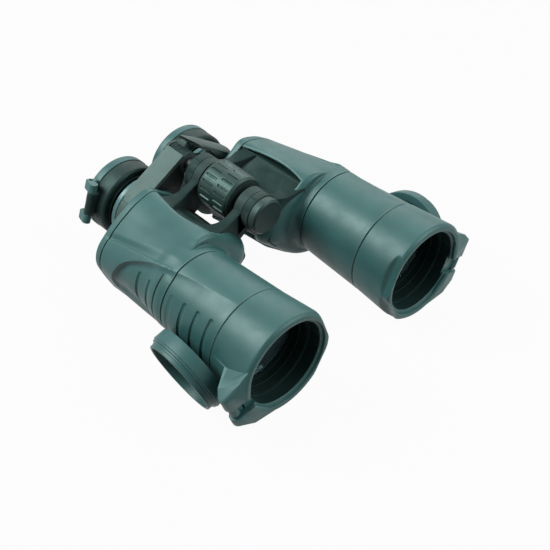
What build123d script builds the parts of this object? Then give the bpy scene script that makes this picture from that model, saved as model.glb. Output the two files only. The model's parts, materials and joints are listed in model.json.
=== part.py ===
"""Folding binoculars with offset prism housings, a central focus wheel and flip caps.

Millimetres, +Z up. The barrels lie along Y with the objectives at -Y and the eyepieces at +Y.
+X is the user's left half, -X the right half. The origin is under the middle of the whole thing,
on the surface that it rests on. Every piece is shaped for the left half and mirrored for the right.
"""
import os
from math import cos, hypot, radians, sin, sqrt

from build123d import *

# Optical axes and the hinge
objective_spacing = 118.2
eyepiece_spacing = 55.2
eyepiece_drop = 6.5
hinge_rise = 26.5

# Clearances
running_gap = 0.05
slide_gap = 0.08
body_gap = 0.4
seam_gap = 0.4

# Objective doublet
lens_radius = 25.4
lens_seat_depth = 33.0
lens_seat_step = 1.4
lens_edge = 3.5
lens_bulge = 4.2
flint_edge = 5.5
flint_hollow = 1.2
cement_gap = 0.05
retainer_wall = 1.2
retainer_width = 3.0
retainer_relief = 0.8

# Barrel, hood and armour
tube_wall = 2.15
tube_armour_length = 47.5
tube_armour_rear_wall = 1.9
hood_length = 32.0
hood_front_wall = 6.8
hood_rear_wall = 4.2
hood_bore_margin = 1.6
hood_bore_chamfer = 1.6
hood_chamfer_depth = 3.2
hood_edge_radius = 2.0
hood_flat_cut = 3.4
hood_flat_length = 9.0
hood_flat_angles = (22.0, -28.0)
spigot_step = 3.6
spigot_wall = 2.0
spigot_length = 3.0
collar_length = 6.5

# Prism housing. The front section has a lobe round the barrel, by angle and by margin over the barrel's
# armour. The other corners are (x, z) from the left objective axis or from the left eyepiece axis, and
# the rear section stands on the surface that the binoculars rest on between its two feet.
lobe_angles = (123.4, 84.6, 51.8, 19.5, -9.6, -41.6, -73.3, -105.9)
lobe_margins = (5.2, 1.1, 1.0, 0.5, 0.5, 0.6, 1.8, 3.3)
front_eyepiece_corners = [(6.4, -16.5), (-12.6, -6.5), (-20.6, 1.5), (-17.1, 12.5), (-5.6, 24.5)]
rear_barrel_corners = [(-19.6, 29.5), (-0.1, 23.0), (11.9, 13.5), (21.5, 3.5), (23.5, -7.0), (17.5, -21.0)]
rear_feet = (8.0, -13.1)
rear_eyepiece_corners = [(2.4, -26.5), (-14.1, -17.0), (-21.1, -1.5), (-18.1, 11.5), (-5.6, 24.5)]
panel_corners = (0, 9)
corner_radius = 6.0
housing_length = 57.2
rear_armour_length = 6.3
armour = 2.5
housing_wall = 2.0
rear_cover_thickness = 2.5
rear_armour_wall = 2.0

# Prisms and their shelf
prism_half_length = 18.0
prism_width = 14.0
prism_bevel = 2.0
shelf_thickness = 3.0
shelf_depth = 24.0
light_hole_radius = 6.5

# Screws of the rear cover, in three corners of the housing
screw_corners = (1, 4, 6)
screw_inset = 2.0
screw_radius = 1.2
screw_head_radius = 2.2
screw_head_height = 1.3
screw_length = 10.0
screw_boss_radius = 3.2
screw_boss_length = 11.0

# Central hinge
barrel_radius = 12.5
axle_radius = 6.0
front_axle_reach = 3.5
knuckle_setback = 0.3
left_front_knuckle = 5.4
right_front_lug = 6.5
rear_lug = 6.0
rear_lug_margin = 0.95
lug_web_length = 8.4
rear_axle_tail = 2.0

# Focus wheel, spindle and bridge. The wheel fills the room between the front and the rear lugs.
wheel_core_radius = 13.0
grip_wall = 2.8
grip_margin = 0.6
knob_edge = 1.2
wheel_boss_radius = 8.0
wheel_boss_length = 3.3
spindle_radius = 3.9
focus_travel = 4.0
arm_width = 15.0
arm_thickness = 3.0
arm_cover = 2.0
arm_overhang = 5.6
arm_foot_width = 8.0
arm_tilt = 30.0
arm_end_radius = 6.0
arm_collar_radius = 7.0
clamp_wall = 7.0
bridge_cap_radius = 7.5
bridge_cap_length = 3.2

# Tripod socket in the hinge's front end
socket_radius = 2.6
socket_length = 9.0
socket_wall = 1.0
tripod_cap_radius = 12.0
tripod_cap_plate = 2.0

# Eyepiece
field_lens_radius = 11.5
field_lens_edge = 2.5
eye_lens_radius = 11.5
eye_lens_edge = 4.0
eye_lens_recess = 6.0
ocular_lens_bulge = 2.0
lens_land = 1.5
ocular_bore_step = 0.5
ocular_wall = 1.52
ocular_flange_width = 3.0
sleeve_wall = 1.4
sleeve_insertion = 8.5
ring_width = 4.3
ring_edge = 0.8
diopter_travel = 1.5
eyecup_gap = 2.6
eyecup_radius = 25.3
eyecup_wall = 4.3
eyecup_length = 12.0
eyecup_bore_margin = 5.5
eyecup_neck_step = 2.7
eyecup_neck_length = 4.3
eyecup_edge = 1.2

# Eyepiece cap and its hinge, which each eyecup turns below (or above) the outward way, left and right
eyepiece_cap_overhang = 0.3
eyepiece_cap_gap = 0.5
eyepiece_cap_plate = 2.2
eyepiece_cap_edge = 1.2
eye_hinge_standoff = 3.7
eye_hinge_lead = 2.2
eye_knuckle_radius = 2.8
eye_knuckle_length = 15.0
eye_ear_length = 6.0
eye_pin_radius = 1.0
eye_hinge_drops = (27.0, -17.0)

# Objective cap and its hinge, folded back along the barrel
cap_clearance = 0.5
cap_depth = 9.6
cap_plate = 2.0
cap_lip = 3.9
cap_lip_inset = 1.7
cap_lip_wall = 1.5
cap_setback = 0.3
cap_floor_gap = 1.1
cap_fold = 273.0
cap_tilt = 22.0
cap_hinge_standoff = 5.6
cap_knuckle_radius = 3.4
cap_knuckle_setback = 2.4
cap_arm_width = 10.0
cap_arm_thickness = 3.5
cap_pin_radius = 1.2
lug_ear = 7.5
lug_rear = 17.0
lug_shoulder_width = 9.0
lug_skirt_sink = 7.0
lug_skirt_margin = 6.9
lug_notch_cut = 0.8

# Radii that follow from the objective lens
tube_bore_radius = lens_radius - lens_seat_step
retainer_bore_radius = lens_radius - retainer_wall
tube_outer_radius = lens_radius + running_gap + tube_wall
spigot_radius = tube_outer_radius - spigot_step
spigot_bore_radius = spigot_radius - spigot_wall
tube_armour_rear_radius = tube_outer_radius + tube_armour_rear_wall
hood_front_radius = tube_outer_radius + hood_front_wall
hood_rear_radius = tube_outer_radius + hood_rear_wall
hood_bore_radius = lens_radius + hood_bore_margin
cap_radius = hood_bore_radius - cap_clearance
cap_lip_radius = cap_radius - cap_lip_inset

# Radii that follow from the eyepiece lenses, the eyecup, the wheel's core and the axle
ocular_bore_radius = field_lens_radius + ocular_bore_step
cell_radius = ocular_bore_radius + ocular_wall
sleeve_bore = cell_radius + slide_gap
sleeve_radius = sleeve_bore + sleeve_wall
clamp_radius = sleeve_radius + clamp_wall
eyecup_bore_radius = eye_lens_radius + eyecup_bore_margin
eyecup_neck_radius = eyecup_radius - eyecup_neck_step
ocular_flange_radius = eyecup_radius - eyecup_wall
eyepiece_cap_radius = eyecup_radius + eyepiece_cap_overhang
eye_hinge_reach = eyecup_radius + eye_hinge_standoff
wheel_radius = wheel_core_radius + grip_wall
socket_insert_radius = axle_radius - socket_wall

# Stations along the barrels, counted from the front face of the hoods
hood_bore_depth = cap_setback + cap_depth + cap_floor_gap
tube_start = hood_length
collar_start = hood_length + tube_armour_length
wall_start = collar_start + collar_length
core_start = wall_start + armour
seam = wall_start + housing_length
housing_end = seam + rear_armour_length
core_end = housing_end - rear_armour_wall - rear_cover_thickness
arm_start = housing_end + focus_travel + 2.5 * body_gap
arm_end = arm_start + arm_width
ring_start = arm_end + body_gap
eyecup_start = ring_start + ring_width + diopter_travel + eyecup_gap
neck_start = eyecup_start + eyecup_length
cap_skirt_start = neck_start + body_gap
eyepiece_end = neck_start + eyecup_neck_length + body_gap + eyepiece_cap_plate
shelf_start = core_start + shelf_depth
knuckle_start = wall_start + knuckle_setback
right_front_start = knuckle_start + left_front_knuckle + body_gap
right_front_end = right_front_start + right_front_lug
left_rear_start = core_end - rear_lug_margin - rear_lug
right_rear_start = left_rear_start - body_gap - rear_lug
wheel_start = right_front_end + body_gap + wheel_boss_length
wheel_end = right_rear_start - body_gap - wheel_boss_length / 2

# Objective cap's hinge, and the height of the objective axes: the folded caps' rims are the lowest points
cap_hinge_reach = hood_front_radius + cap_hinge_standoff
cap_hinge_depth = cap_knuckle_radius + cap_knuckle_setback
lug_skirt = hood_bore_radius - lug_skirt_sink
lug_skirt_width = hood_front_radius - lug_skirt_margin
lug_notch_floor = hood_front_radius - lug_notch_cut
fold, tilt = radians(cap_fold), radians(cap_tilt)
cap_rim = cap_setback + cap_depth
rim_lead = cap_rim - cap_hinge_depth
rim_reach = cap_hinge_reach * (1 - cos(fold)) - rim_lead * sin(fold)
axis_height = rim_reach * sin(tilt) + cap_radius * hypot(cos(tilt), cos(fold) * sin(tilt))

# Places in the part's frame
front = -eyepiece_end / 2
objective_x = objective_spacing / 2
eyepiece_x = eyepiece_spacing / 2
eyepiece_z = axis_height - eyepiece_drop
hinge_z = axis_height + hinge_rise
OBJECTIVE = (objective_x, axis_height)
EYEPIECE = (eyepiece_x, eyepiece_z)
HINGE = (0.0, hinge_z)


def from_axis(corners, at):
    """Corners given from an axis (x, z), in the part's frame."""
    return [(at[0] + x, at[1] + z) for x, z in corners]


def lobe_corner(angle, margin):
    """Corner of the front section round the barrel, from the objective axis."""
    reach = tube_armour_rear_radius + margin
    return reach * cos(radians(angle)), reach * sin(radians(angle))


barrel_lobe = [lobe_corner(angle, margin) for angle, margin in zip(lobe_angles, lobe_margins)]
front_section = from_axis(barrel_lobe, OBJECTIVE) + from_axis(front_eyepiece_corners, EYEPIECE)
rear_section = (from_axis(rear_barrel_corners, OBJECTIVE) + [(objective_x + foot, 0) for foot in rear_feet]
                + from_axis(rear_eyepiece_corners, EYEPIECE))


def across(station):
    """Plane square to the barrels at a station. Its x is +X, its y is +Z, and its normal points to -Y."""
    return Plane(origin=(0, front + station, 0), x_dir=(1, 0, 0), z_dir=(0, -1, 0))


def along(at):
    """Plane through an axis (x, z) parallel to the barrels: x is the radius and y is the way to +Y."""
    return Plane(origin=(at[0], front, at[1]), x_dir=(1, 0, 0), z_dir=(0, 0, 1))


def turned(points, at):
    """Body of revolution about the axis through (x, z), from points (radius, station)."""
    with BuildPart() as body:
        with BuildSketch(along(at)):
            with BuildLine():
                Polyline(*points, close=True)
            make_face()
        revolve(axis=Axis((at[0], 0, at[1]), (0, 1, 0)))
    return body


def tube(outer, inner, start, end, at):
    """Straight tube between two stations, or a rod where the inner radius is zero."""
    return turned([(inner, start), (outer, start), (outer, end), (inner, end)], at)


def rod(radius, start, end, at):
    """Solid rod between two stations, for use as a cutter or a pin."""
    return tube(radius, 0, start, end, at).part


def lens(radius, start, end, front_bulge, rear_bulge, at):
    """Round lens with spherical faces. A bulge is positive outwards and is taken at the centre."""

    def rise(bulge):
        """Height of the spherical face above its edge, half way out."""
        curve = (radius ** 2 + bulge ** 2) / (2 * bulge)
        flank = sqrt(curve ** 2 - radius ** 2 / 4)
        return bulge - (abs(curve) - flank) * (1 if bulge > 0 else -1)

    with BuildPart() as glass:
        with BuildSketch(along(at)):
            with BuildLine():
                Line((0, start - front_bulge), (0, end + rear_bulge))
                ThreePointArc((0, end + rear_bulge), (radius / 2, end + rise(rear_bulge)), (radius, end))
                Line((radius, end), (radius, start))
                ThreePointArc((radius, start), (radius / 2, start - rise(front_bulge)),
                              (0, start - front_bulge))
            make_face()
        revolve(axis=Axis((at[0], 0, at[1]), (0, 1, 0)))
    return glass


def slab(start, end):
    """Block that holds all of the part between two stations."""
    reach = 2 * eyepiece_end
    return Pos(0, front + (start + end) / 2, 0) * Box(reach, end - start, reach, mode=Mode.PRIVATE)


def section_points(section, inset):
    """Housing outline with every side moved inwards by the inset."""
    moved = []
    for before, here, after in zip(section[-1:] + section[:-1], section, section[1:] + section[:1]):
        first = (here[0] - before[0], here[1] - before[1])
        second = (after[0] - here[0], after[1] - here[1])
        n1 = (first[1] / hypot(*first), -first[0] / hypot(*first))
        n2 = (second[1] / hypot(*second), -second[0] / hypot(*second))
        share = inset / (1 + n1[0] * n2[0] + n1[1] * n2[1])
        moved.append((here[0] + share * (n1[0] + n2[0]), here[1] + share * (n1[1] + n2[1])))
    return moved


def housing_block(inset, start, end):
    """Housing form between two stations, lofted from the front section to the rear section."""
    with BuildPart() as block:
        for station, section in ((wall_start, front_section), (housing_end, rear_section)):
            with BuildSketch(across(station)) as outline:
                with BuildLine():
                    Polyline(*section_points(section, inset), close=True)
                make_face()
                fillet(outline.vertices(), radius=corner_radius - inset)
        loft(ruled=True)
        add(slab(start, end), mode=Mode.INTERSECT)
    return block


def save(piece, name):
    """Label a piece and write it."""
    piece.part.label = name
    export_step(piece.part, f"parts/{name}.step")


def save_pair(piece, name):
    """Write a piece of the left half and its mirror image for the right half."""
    save(piece, f"left_{name}")
    with BuildPart() as twin:
        mirror(piece.part, about=Plane.YZ)
    save(twin, f"right_{name}")


def save_twisted(piece, name):
    """Write a piece of the eyecup or its cap for both halves, each turned about its eyepiece axis."""
    left_drop, right_drop = eye_hinge_drops
    axis = Axis((eyepiece_x, 0, eyepiece_z), (0, 1, 0))
    with BuildPart() as left:
        add(piece.part.rotate(axis, left_drop))
    save(left, f"left_{name}")
    with BuildPart() as right:
        mirror(piece.part.rotate(axis, right_drop), about=Plane.YZ)
    save(right, f"right_{name}")


os.makedirs("parts", exist_ok=True)

# Objective tube: barrel with the lens seat and a spigot into the housing
objective_tube = turned([
    (lens_radius + running_gap, hood_bore_depth), (tube_outer_radius, hood_bore_depth),
    (tube_outer_radius, core_start), (spigot_radius, core_start),
    (spigot_radius, core_start + spigot_length), (spigot_bore_radius, core_start + spigot_length),
    (spigot_bore_radius, collar_start), (tube_bore_radius, collar_start - 2 * armour),
    (tube_bore_radius, lens_seat_depth), (lens_radius + running_gap, lens_seat_depth),
], OBJECTIVE)
save_pair(objective_tube, "objective_tube")

# Objective doublet and the ring that holds it
flint_start = lens_seat_depth - flint_edge
crown_start = flint_start - cement_gap - lens_edge
retainer_start = crown_start - retainer_width
save_pair(lens(lens_radius, crown_start, flint_start - cement_gap, lens_bulge, lens_bulge, OBJECTIVE),
          "objective_crown")
save_pair(lens(lens_radius, flint_start, lens_seat_depth, -lens_bulge, -flint_hollow, OBJECTIVE),
          "objective_flint")
objective_retainer = turned([
    (retainer_bore_radius, retainer_start), (lens_radius + running_gap, retainer_start),
    (lens_radius + running_gap, crown_start), (retainer_bore_radius, crown_start - retainer_relief),
], OBJECTIVE)
save_pair(objective_retainer, "objective_retainer")

# Armour sleeve on the barrel
armour_tube = turned([
    (tube_outer_radius, tube_start + seam_gap), (hood_rear_radius, tube_start + seam_gap),
    (tube_armour_rear_radius, collar_start), (tube_outer_radius, collar_start),
], OBJECTIVE)
save_pair(armour_tube, "armour_tube")

# Planes of the objective cap's hinge: outwards and downwards from the objective axis
outward = (cos(tilt), 0, -sin(tilt))
upward = (sin(tilt), 0, cos(tilt))
hood_face = Plane(origin=(objective_x, front, axis_height), x_dir=outward, z_dir=(0, -1, 0))
hood_side = Plane(origin=(objective_x, front, axis_height), x_dir=outward, z_dir=(-upward[0], 0, -upward[2]))
lug_half = cap_arm_width / 2 + body_gap + lug_ear
lug_reach = cap_hinge_reach + cap_knuckle_radius + body_gap


def hinge_rod(radius, length):
    """Rod along the objective cap's hinge line."""
    with BuildPart() as pin:
        with BuildSketch(hood_side):
            with Locations((cap_hinge_reach, -cap_hinge_depth)):
                Circle(radius)
        extrude(amount=length / 2, both=True)
    return pin


# Hood: front ring with the lug, the notch for the cap's arm and two flats on its inner side
with BuildPart() as lug:
    with BuildSketch(hood_face):
        with BuildLine():
            Polyline((lug_skirt, lug_skirt_width), (lug_reach - lug_shoulder_width, lug_half + lug_ear),
                     (lug_reach, lug_half), (lug_reach, -lug_half),
                     (lug_reach - lug_shoulder_width, -lug_half - lug_ear), (lug_skirt, -lug_skirt_width),
                     close=True)
        make_face()
    extrude(amount=-lug_rear)
    with BuildSketch(hood_side):
        with BuildLine():
            Polyline((lug_skirt, 0), (lug_reach, 0), (lug_reach, -cap_hinge_depth - cap_knuckle_radius),
                     (hood_front_radius - armour, -lug_rear), (lug_skirt, -lug_rear), close=True)
        make_face()
    extrude(amount=2 * lug_skirt_width, both=True, mode=Mode.INTERSECT)

hood_ring = turned([
    (hood_bore_radius, 0), (hood_front_radius - hood_edge_radius, 0), (hood_front_radius, hood_edge_radius),
    (hood_rear_radius, hood_length), (tube_outer_radius, hood_length), (tube_outer_radius, hood_bore_depth),
    (hood_bore_radius, hood_bore_depth),
], OBJECTIVE)

with BuildPart() as front_hood:
    add(hood_ring.part)
    add(lug.part)
    add(turned([
        (0, 0), (hood_bore_radius + hood_bore_chamfer, 0), (hood_bore_radius, hood_chamfer_depth),
        (hood_bore_radius, hood_bore_depth), (0, hood_bore_depth),
    ], OBJECTIVE).part, mode=Mode.SUBTRACT)
    add(rod(tube_outer_radius, hood_bore_depth, hood_length, OBJECTIVE), mode=Mode.SUBTRACT)
    with BuildSketch(hood_face):
        with Locations((lug_notch_floor, 0)):
            Rectangle(lug_reach, cap_arm_width + 2 * body_gap, align=(Align.MIN, Align.CENTER))
    extrude(amount=-lug_rear, mode=Mode.SUBTRACT)
    with BuildSketch(hood_face):
        Rectangle(lug_reach, cap_arm_width + 2 * body_gap, align=(Align.MIN, Align.CENTER))
    extrude(amount=-cap_setback - cap_arm_thickness - body_gap, mode=Mode.SUBTRACT)
    add(hinge_rod(cap_pin_radius, 2 * lug_half).part, mode=Mode.SUBTRACT)
    for angle in hood_flat_angles:
        with BuildSketch(Plane(origin=(objective_x, front, axis_height), z_dir=(0, -1, 0),
                               x_dir=(-cos(radians(angle)), 0, sin(radians(angle))))):
            with Locations((hood_front_radius - hood_flat_cut, 0)):
                Rectangle(hood_front_radius, 2 * hood_front_radius, align=(Align.MIN, Align.CENTER))
        extrude(amount=-hood_flat_length, mode=Mode.SUBTRACT)
save_pair(front_hood, "front_hood")
save_pair(hinge_rod(cap_pin_radius, 2 * lug_half), "objective_cap_pin")

# Objective cap: a cup with a narrower lip that closes in the hood's bore, drawn closed and then folded back
lip_bore_radius = cap_lip_radius - cap_lip_wall
cap_arm_root = (cap_radius + lip_bore_radius) / 2
with BuildPart() as objective_cap:
    add(turned([
        (0, cap_setback), (cap_radius, cap_setback), (cap_radius, cap_rim), (cap_lip_radius, cap_rim),
        (cap_lip_radius, cap_rim + cap_lip), (lip_bore_radius, cap_rim + cap_lip),
        (lip_bore_radius, cap_setback + cap_plate), (0, cap_setback + cap_plate),
    ], OBJECTIVE).part)
    with BuildSketch(hood_side):
        with BuildLine():
            Polyline((cap_arm_root, -cap_setback), (cap_hinge_reach, -cap_setback),
                     (cap_hinge_reach, -cap_setback - cap_arm_thickness),
                     (cap_arm_root, -cap_setback - cap_arm_thickness), close=True)
        make_face()
        with Locations((cap_hinge_reach, -cap_hinge_depth)):
            Circle(cap_knuckle_radius)
    extrude(amount=cap_arm_width / 2, both=True)
    add(hinge_rod(cap_pin_radius + running_gap, 2 * cap_arm_width).part, mode=Mode.SUBTRACT)
cap_hinge = Axis((objective_x + cap_hinge_reach * outward[0], front + cap_hinge_depth,
                  axis_height + cap_hinge_reach * outward[2]), upward)
with BuildPart() as folded_cap:
    add(objective_cap.part.rotate(cap_hinge, cap_fold))
save_pair(folded_cap, "objective_cap")

# Armour over the prism housing: open towards the hinge, with a front wall and a collar round the barrel
panel_top, panel_bottom = [(front_section[i], rear_section[i]) for i in panel_corners]


def panel_cut(start, end):
    """Region on the hinge side of the housing that the armour leaves bare."""
    top = min(panel_top)
    bottom = max(panel_bottom)
    with BuildPart() as cut:
        with BuildSketch(across(end)):
            with BuildLine():
                Polyline(top, bottom, (-objective_x, bottom[1]), (-objective_x, top[1] + barrel_radius),
                         (top[0], top[1] + barrel_radius), close=True)
            make_face()
        extrude(amount=end - start)
    return cut.part


with BuildPart() as armour_prism:
    add(housing_block(0, wall_start, seam).part)
    add(rod(tube_armour_rear_radius, collar_start + seam_gap, core_start, OBJECTIVE))
    add(housing_block(armour, core_start, seam).part, mode=Mode.SUBTRACT)
    add(panel_cut(core_start, seam), mode=Mode.SUBTRACT)
    add(rod(tube_outer_radius, 0, core_start, OBJECTIVE), mode=Mode.SUBTRACT)
save_pair(armour_prism, "armour_prism")

with BuildPart() as armour_rear:
    add(housing_block(0, seam + seam_gap, housing_end).part)
    add(housing_block(armour, seam, housing_end - rear_armour_wall).part, mode=Mode.SUBTRACT)
    add(panel_cut(seam, housing_end), mode=Mode.SUBTRACT)
    add(rod(sleeve_radius + body_gap, seam, housing_end, EYEPIECE), mode=Mode.SUBTRACT)
save_pair(armour_rear, "armour_rear")


def hinge_web(start, end):
    """Web between the hinge and the housing's inner panel, dipping in its upper edge."""
    shoulder = (front_section[0][0] - armour, front_section[0][1] - armour)
    crest = (0, hinge_z + barrel_radius - armour)
    dip = (2 * barrel_radius, hinge_z - armour)
    upper, lower = front_section[-1], front_section[-2]
    with BuildPart() as web:
        with BuildSketch(across(end)):
            with BuildLine():
                Line((0, hinge_z - barrel_radius + armour), crest)
                Spline(crest, (barrel_radius, hinge_z + armour), dip, shoulder)
                Polyline(shoulder, (upper[0] + 2 * armour, upper[1] - armour),
                         (lower[0] + 2 * armour, lower[1]), (0, hinge_z - barrel_radius + armour))
            make_face()
        extrude(amount=end - start)
    return web.part


screw_places = [section_points(rear_section, armour + housing_wall + screw_inset)[i] for i in screw_corners]
sleeve_start = core_end - sleeve_insertion


with BuildPart() as screw_bosses:
    for place in screw_places:
        add(rod(screw_boss_radius, core_end - screw_boss_length, core_end, place))
    add(housing_block(armour, core_start, core_end).part, mode=Mode.INTERSECT)


def prism_housing(barrels, bore):
    """Casing with its cavity, screw bosses and hinge lugs. A barrel is (start, end, web start, web end)."""
    with BuildPart() as casing:
        add(housing_block(armour, core_start, core_end).part)
        for start, end, web_start, web_end in barrels:
            add(hinge_web(web_start, web_end))
        for start, end in other_barrels(barrels):
            add(rod(barrel_radius + body_gap, start - body_gap, end + body_gap, HINGE), mode=Mode.SUBTRACT)
        for start, end, web_start, web_end in barrels:
            add(rod(barrel_radius, start, end, HINGE))
        add(housing_block(armour + housing_wall, core_start + housing_wall, core_end).part,
            mode=Mode.SUBTRACT)
        add(screw_bosses.part)
        for place in screw_places:
            add(rod(screw_radius, core_end - screw_length, core_end, place), mode=Mode.SUBTRACT)
        add(rod(sleeve_radius + body_gap, sleeve_start - focus_travel - body_gap, core_end, EYEPIECE),
            mode=Mode.SUBTRACT)
        add(rod(spigot_radius, core_start, core_start + spigot_length, OBJECTIVE), mode=Mode.SUBTRACT)
        add(rod(bore, 0, eyepiece_end, HINGE), mode=Mode.SUBTRACT)
    return casing


left_barrels = [
    (knuckle_start, knuckle_start + left_front_knuckle, core_start + body_gap, core_start + lug_web_length),
    (left_rear_start, left_rear_start + rear_lug, left_rear_start, left_rear_start + rear_lug),
]
right_barrels = [
    (right_front_start, right_front_end, right_front_start, right_front_end),
    (right_rear_start, right_rear_start + rear_lug, right_rear_start, right_rear_start + rear_lug),
]


def other_barrels(barrels):
    """Start and end of the barrels that belong to the other half."""
    return [(b[0], b[1]) for b in (right_barrels if barrels is left_barrels else left_barrels)]


save(prism_housing(left_barrels, axle_radius + running_gap), "left_prism_housing")
with BuildPart() as right_prism_housing:
    mirror(prism_housing(right_barrels, axle_radius).part, about=Plane.YZ)
save(right_prism_housing, "right_prism_housing")

# Rear cover with the eyepiece's guide bore, and its screws
cover_end = core_end + rear_cover_thickness
with BuildPart() as rear_cover:
    add(housing_block(armour, core_end, cover_end).part)
    add(rod(sleeve_radius + slide_gap, core_end, cover_end, EYEPIECE), mode=Mode.SUBTRACT)
    for place in screw_places:
        add(rod(screw_radius, core_end, cover_end, place), mode=Mode.SUBTRACT)
        add(rod(screw_head_radius, cover_end - screw_head_height, cover_end, place), mode=Mode.SUBTRACT)
save_pair(rear_cover, "rear_cover")

with BuildPart() as cover_screws:
    for place in screw_places:
        add(rod(screw_radius, core_end - screw_length, cover_end, place))
        add(rod(screw_head_radius, cover_end - screw_head_height, cover_end, place))
save_pair(cover_screws, "cover_screws")

# Prisms: each moves the light sideways by the same amount, square to the other
offset_x = eyepiece_x - objective_x
offset_z = eyepiece_z - axis_height
middle = (objective_x + (offset_x + offset_z) / 2, axis_height + (offset_z - offset_x) / 2)
shelf_end = shelf_start + shelf_thickness


def prism(first, second, station, apex):
    """Right-angle prism over two parallel light axes, with its apex ahead of or behind the station."""
    run = (second[0] - first[0], second[1] - first[1])
    way = (run[0] / hypot(*run), run[1] / hypot(*run))
    centre = ((first[0] + second[0]) / 2, front + station, (first[1] + second[1]) / 2)
    flat = prism_half_length - prism_bevel
    with BuildPart() as glass:
        with BuildSketch(Plane(origin=centre, x_dir=(way[0], 0, way[1]), z_dir=(-way[1], 0, way[0]))):
            with BuildLine():
                Polyline((-prism_half_length, 0), (prism_half_length, 0),
                         (prism_half_length, apex * prism_bevel), (prism_bevel, apex * flat),
                         (-prism_bevel, apex * flat), (-prism_half_length, apex * prism_bevel), close=True)
            make_face()
        extrude(amount=prism_width / 2, both=True)
    return glass


save_pair(prism(OBJECTIVE, middle, shelf_end, 1), "prism_rear")
save_pair(prism(middle, EYEPIECE, shelf_start, -1), "prism_front")

with BuildPart() as prism_shelf:
    add(housing_block(armour + housing_wall, shelf_start, shelf_end).part)
    for place in (OBJECTIVE, middle, EYEPIECE):
        add(rod(light_hole_radius, shelf_start, shelf_end, place), mode=Mode.SUBTRACT)
save_pair(prism_shelf, "prism_shelf")

# Hinge axles: the front one ends in a boss with the tripod socket, the rear one guides the spindle
socket_start = knuckle_start - front_axle_reach
front_axle = turned([
    (socket_insert_radius, socket_start), (axle_radius, socket_start), (axle_radius, right_front_end),
    (spindle_radius + running_gap, right_front_end),
    (spindle_radius + running_gap, socket_start + socket_length),
    (socket_insert_radius, socket_start + socket_length),
], HINGE)
save(front_axle, "front_axle")
save(tube(axle_radius, spindle_radius + running_gap, right_rear_start,
          left_rear_start + rear_lug + rear_axle_tail, HINGE), "rear_axle")
save(tube(socket_insert_radius, socket_radius, socket_start, socket_start + socket_length, HINGE),
     "tripod_socket")

# Cap of the tripod socket: a cup on the boss
cap_front = socket_start - body_gap - tripod_cap_plate
tripod_cap = turned([
    (0, cap_front), (tripod_cap_radius - knob_edge, cap_front), (tripod_cap_radius, cap_front + knob_edge),
    (tripod_cap_radius, knuckle_start - body_gap), (axle_radius + slide_gap, knuckle_start - body_gap),
    (axle_radius + slide_gap, socket_start - body_gap), (0, socket_start - body_gap),
], HINGE)
save(tripod_cap, "tripod_cap")

# Focus wheel: core with bosses and a grip ring
wheel_bore = spindle_radius + running_gap
focus_wheel = turned([
    (wheel_bore, wheel_start - wheel_boss_length), (wheel_boss_radius, wheel_start - wheel_boss_length),
    (wheel_boss_radius, wheel_start), (wheel_core_radius, wheel_start), (wheel_core_radius, wheel_end),
    (wheel_boss_radius, wheel_end), (wheel_boss_radius, wheel_end + wheel_boss_length / 2),
    (wheel_bore, wheel_end + wheel_boss_length / 2),
], HINGE)
save(focus_wheel, "focus_wheel")
grip_start = wheel_start + grip_margin
grip_end = wheel_end - grip_margin
focus_grip = turned([
    (wheel_core_radius, grip_start), (wheel_radius - knob_edge, grip_start),
    (wheel_radius, grip_start + knob_edge), (wheel_radius, grip_end - knob_edge),
    (wheel_radius - knob_edge, grip_end), (wheel_core_radius, grip_end),
], HINGE)
save(focus_grip, "focus_grip")

# Focus spindle and the cap on its rear end
spindle_start = socket_start + socket_length + focus_travel + 2 * body_gap
spindle_end = arm_end + body_gap + bridge_cap_length / 2
save(tube(spindle_radius, 0, spindle_start, spindle_end, HINGE), "focus_spindle")
bridge_cap_start = arm_end + body_gap
bridge_cap = turned([
    (spindle_radius, bridge_cap_start), (bridge_cap_radius, bridge_cap_start),
    (bridge_cap_radius, bridge_cap_start + bridge_cap_length - knob_edge),
    (bridge_cap_radius - knob_edge, bridge_cap_start + bridge_cap_length),
    (0, bridge_cap_start + bridge_cap_length), (0, spindle_end), (spindle_radius, spindle_end),
], HINGE)
save(bridge_cap, "bridge_cap")


# Arm of the bridge: it slopes from the hinge line over the eyepiece, whose axis lies below the slope
arm_slope = (cos(radians(arm_tilt)), 0, -sin(radians(arm_tilt)))
arm_rise = (sin(radians(arm_tilt)), 0, cos(radians(arm_tilt)))
arm_plane = Plane(origin=(0, front + arm_start, hinge_z), x_dir=arm_slope, z_dir=arm_rise)
arm_foot = arm_slope[0] * eyepiece_x + arm_slope[2] * (eyepiece_z - hinge_z)
arm_drop = -arm_rise[0] * eyepiece_x - arm_rise[2] * (eyepiece_z - hinge_z)
arm_underside = arm_collar_radius + arm_cover - arm_thickness


def bridge_arm(collar, other, bore):
    """Flat arm from its collar on the spindle, over the other arm's collar, to its clamp ring."""
    with BuildPart() as arm:
        with BuildSketch(arm_plane.offset(arm_underside)) as plan:
            Rectangle(arm_foot + arm_overhang, arm_width, align=(Align.MIN, Align.MIN))
            fillet(plan.vertices().group_by(Axis.X)[-1], radius=arm_end_radius)
        extrude(amount=arm_thickness)
        with BuildSketch(arm_plane.offset(-arm_drop)):
            with Locations((arm_foot, 0)):
                Rectangle(arm_foot_width, arm_width, align=(Align.CENTER, Align.MIN))
        extrude(amount=arm_drop + arm_underside)
        add(rod(arm_collar_radius + body_gap, *other, HINGE), mode=Mode.SUBTRACT)
        add(rod(arm_collar_radius, *collar, HINGE))
        add(rod(clamp_radius, arm_start, arm_end, EYEPIECE))
        add(rod(sleeve_radius, arm_start, arm_end, EYEPIECE), mode=Mode.SUBTRACT)
        add(rod(bore, arm_start, arm_end, HINGE), mode=Mode.SUBTRACT)
    return arm


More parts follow.
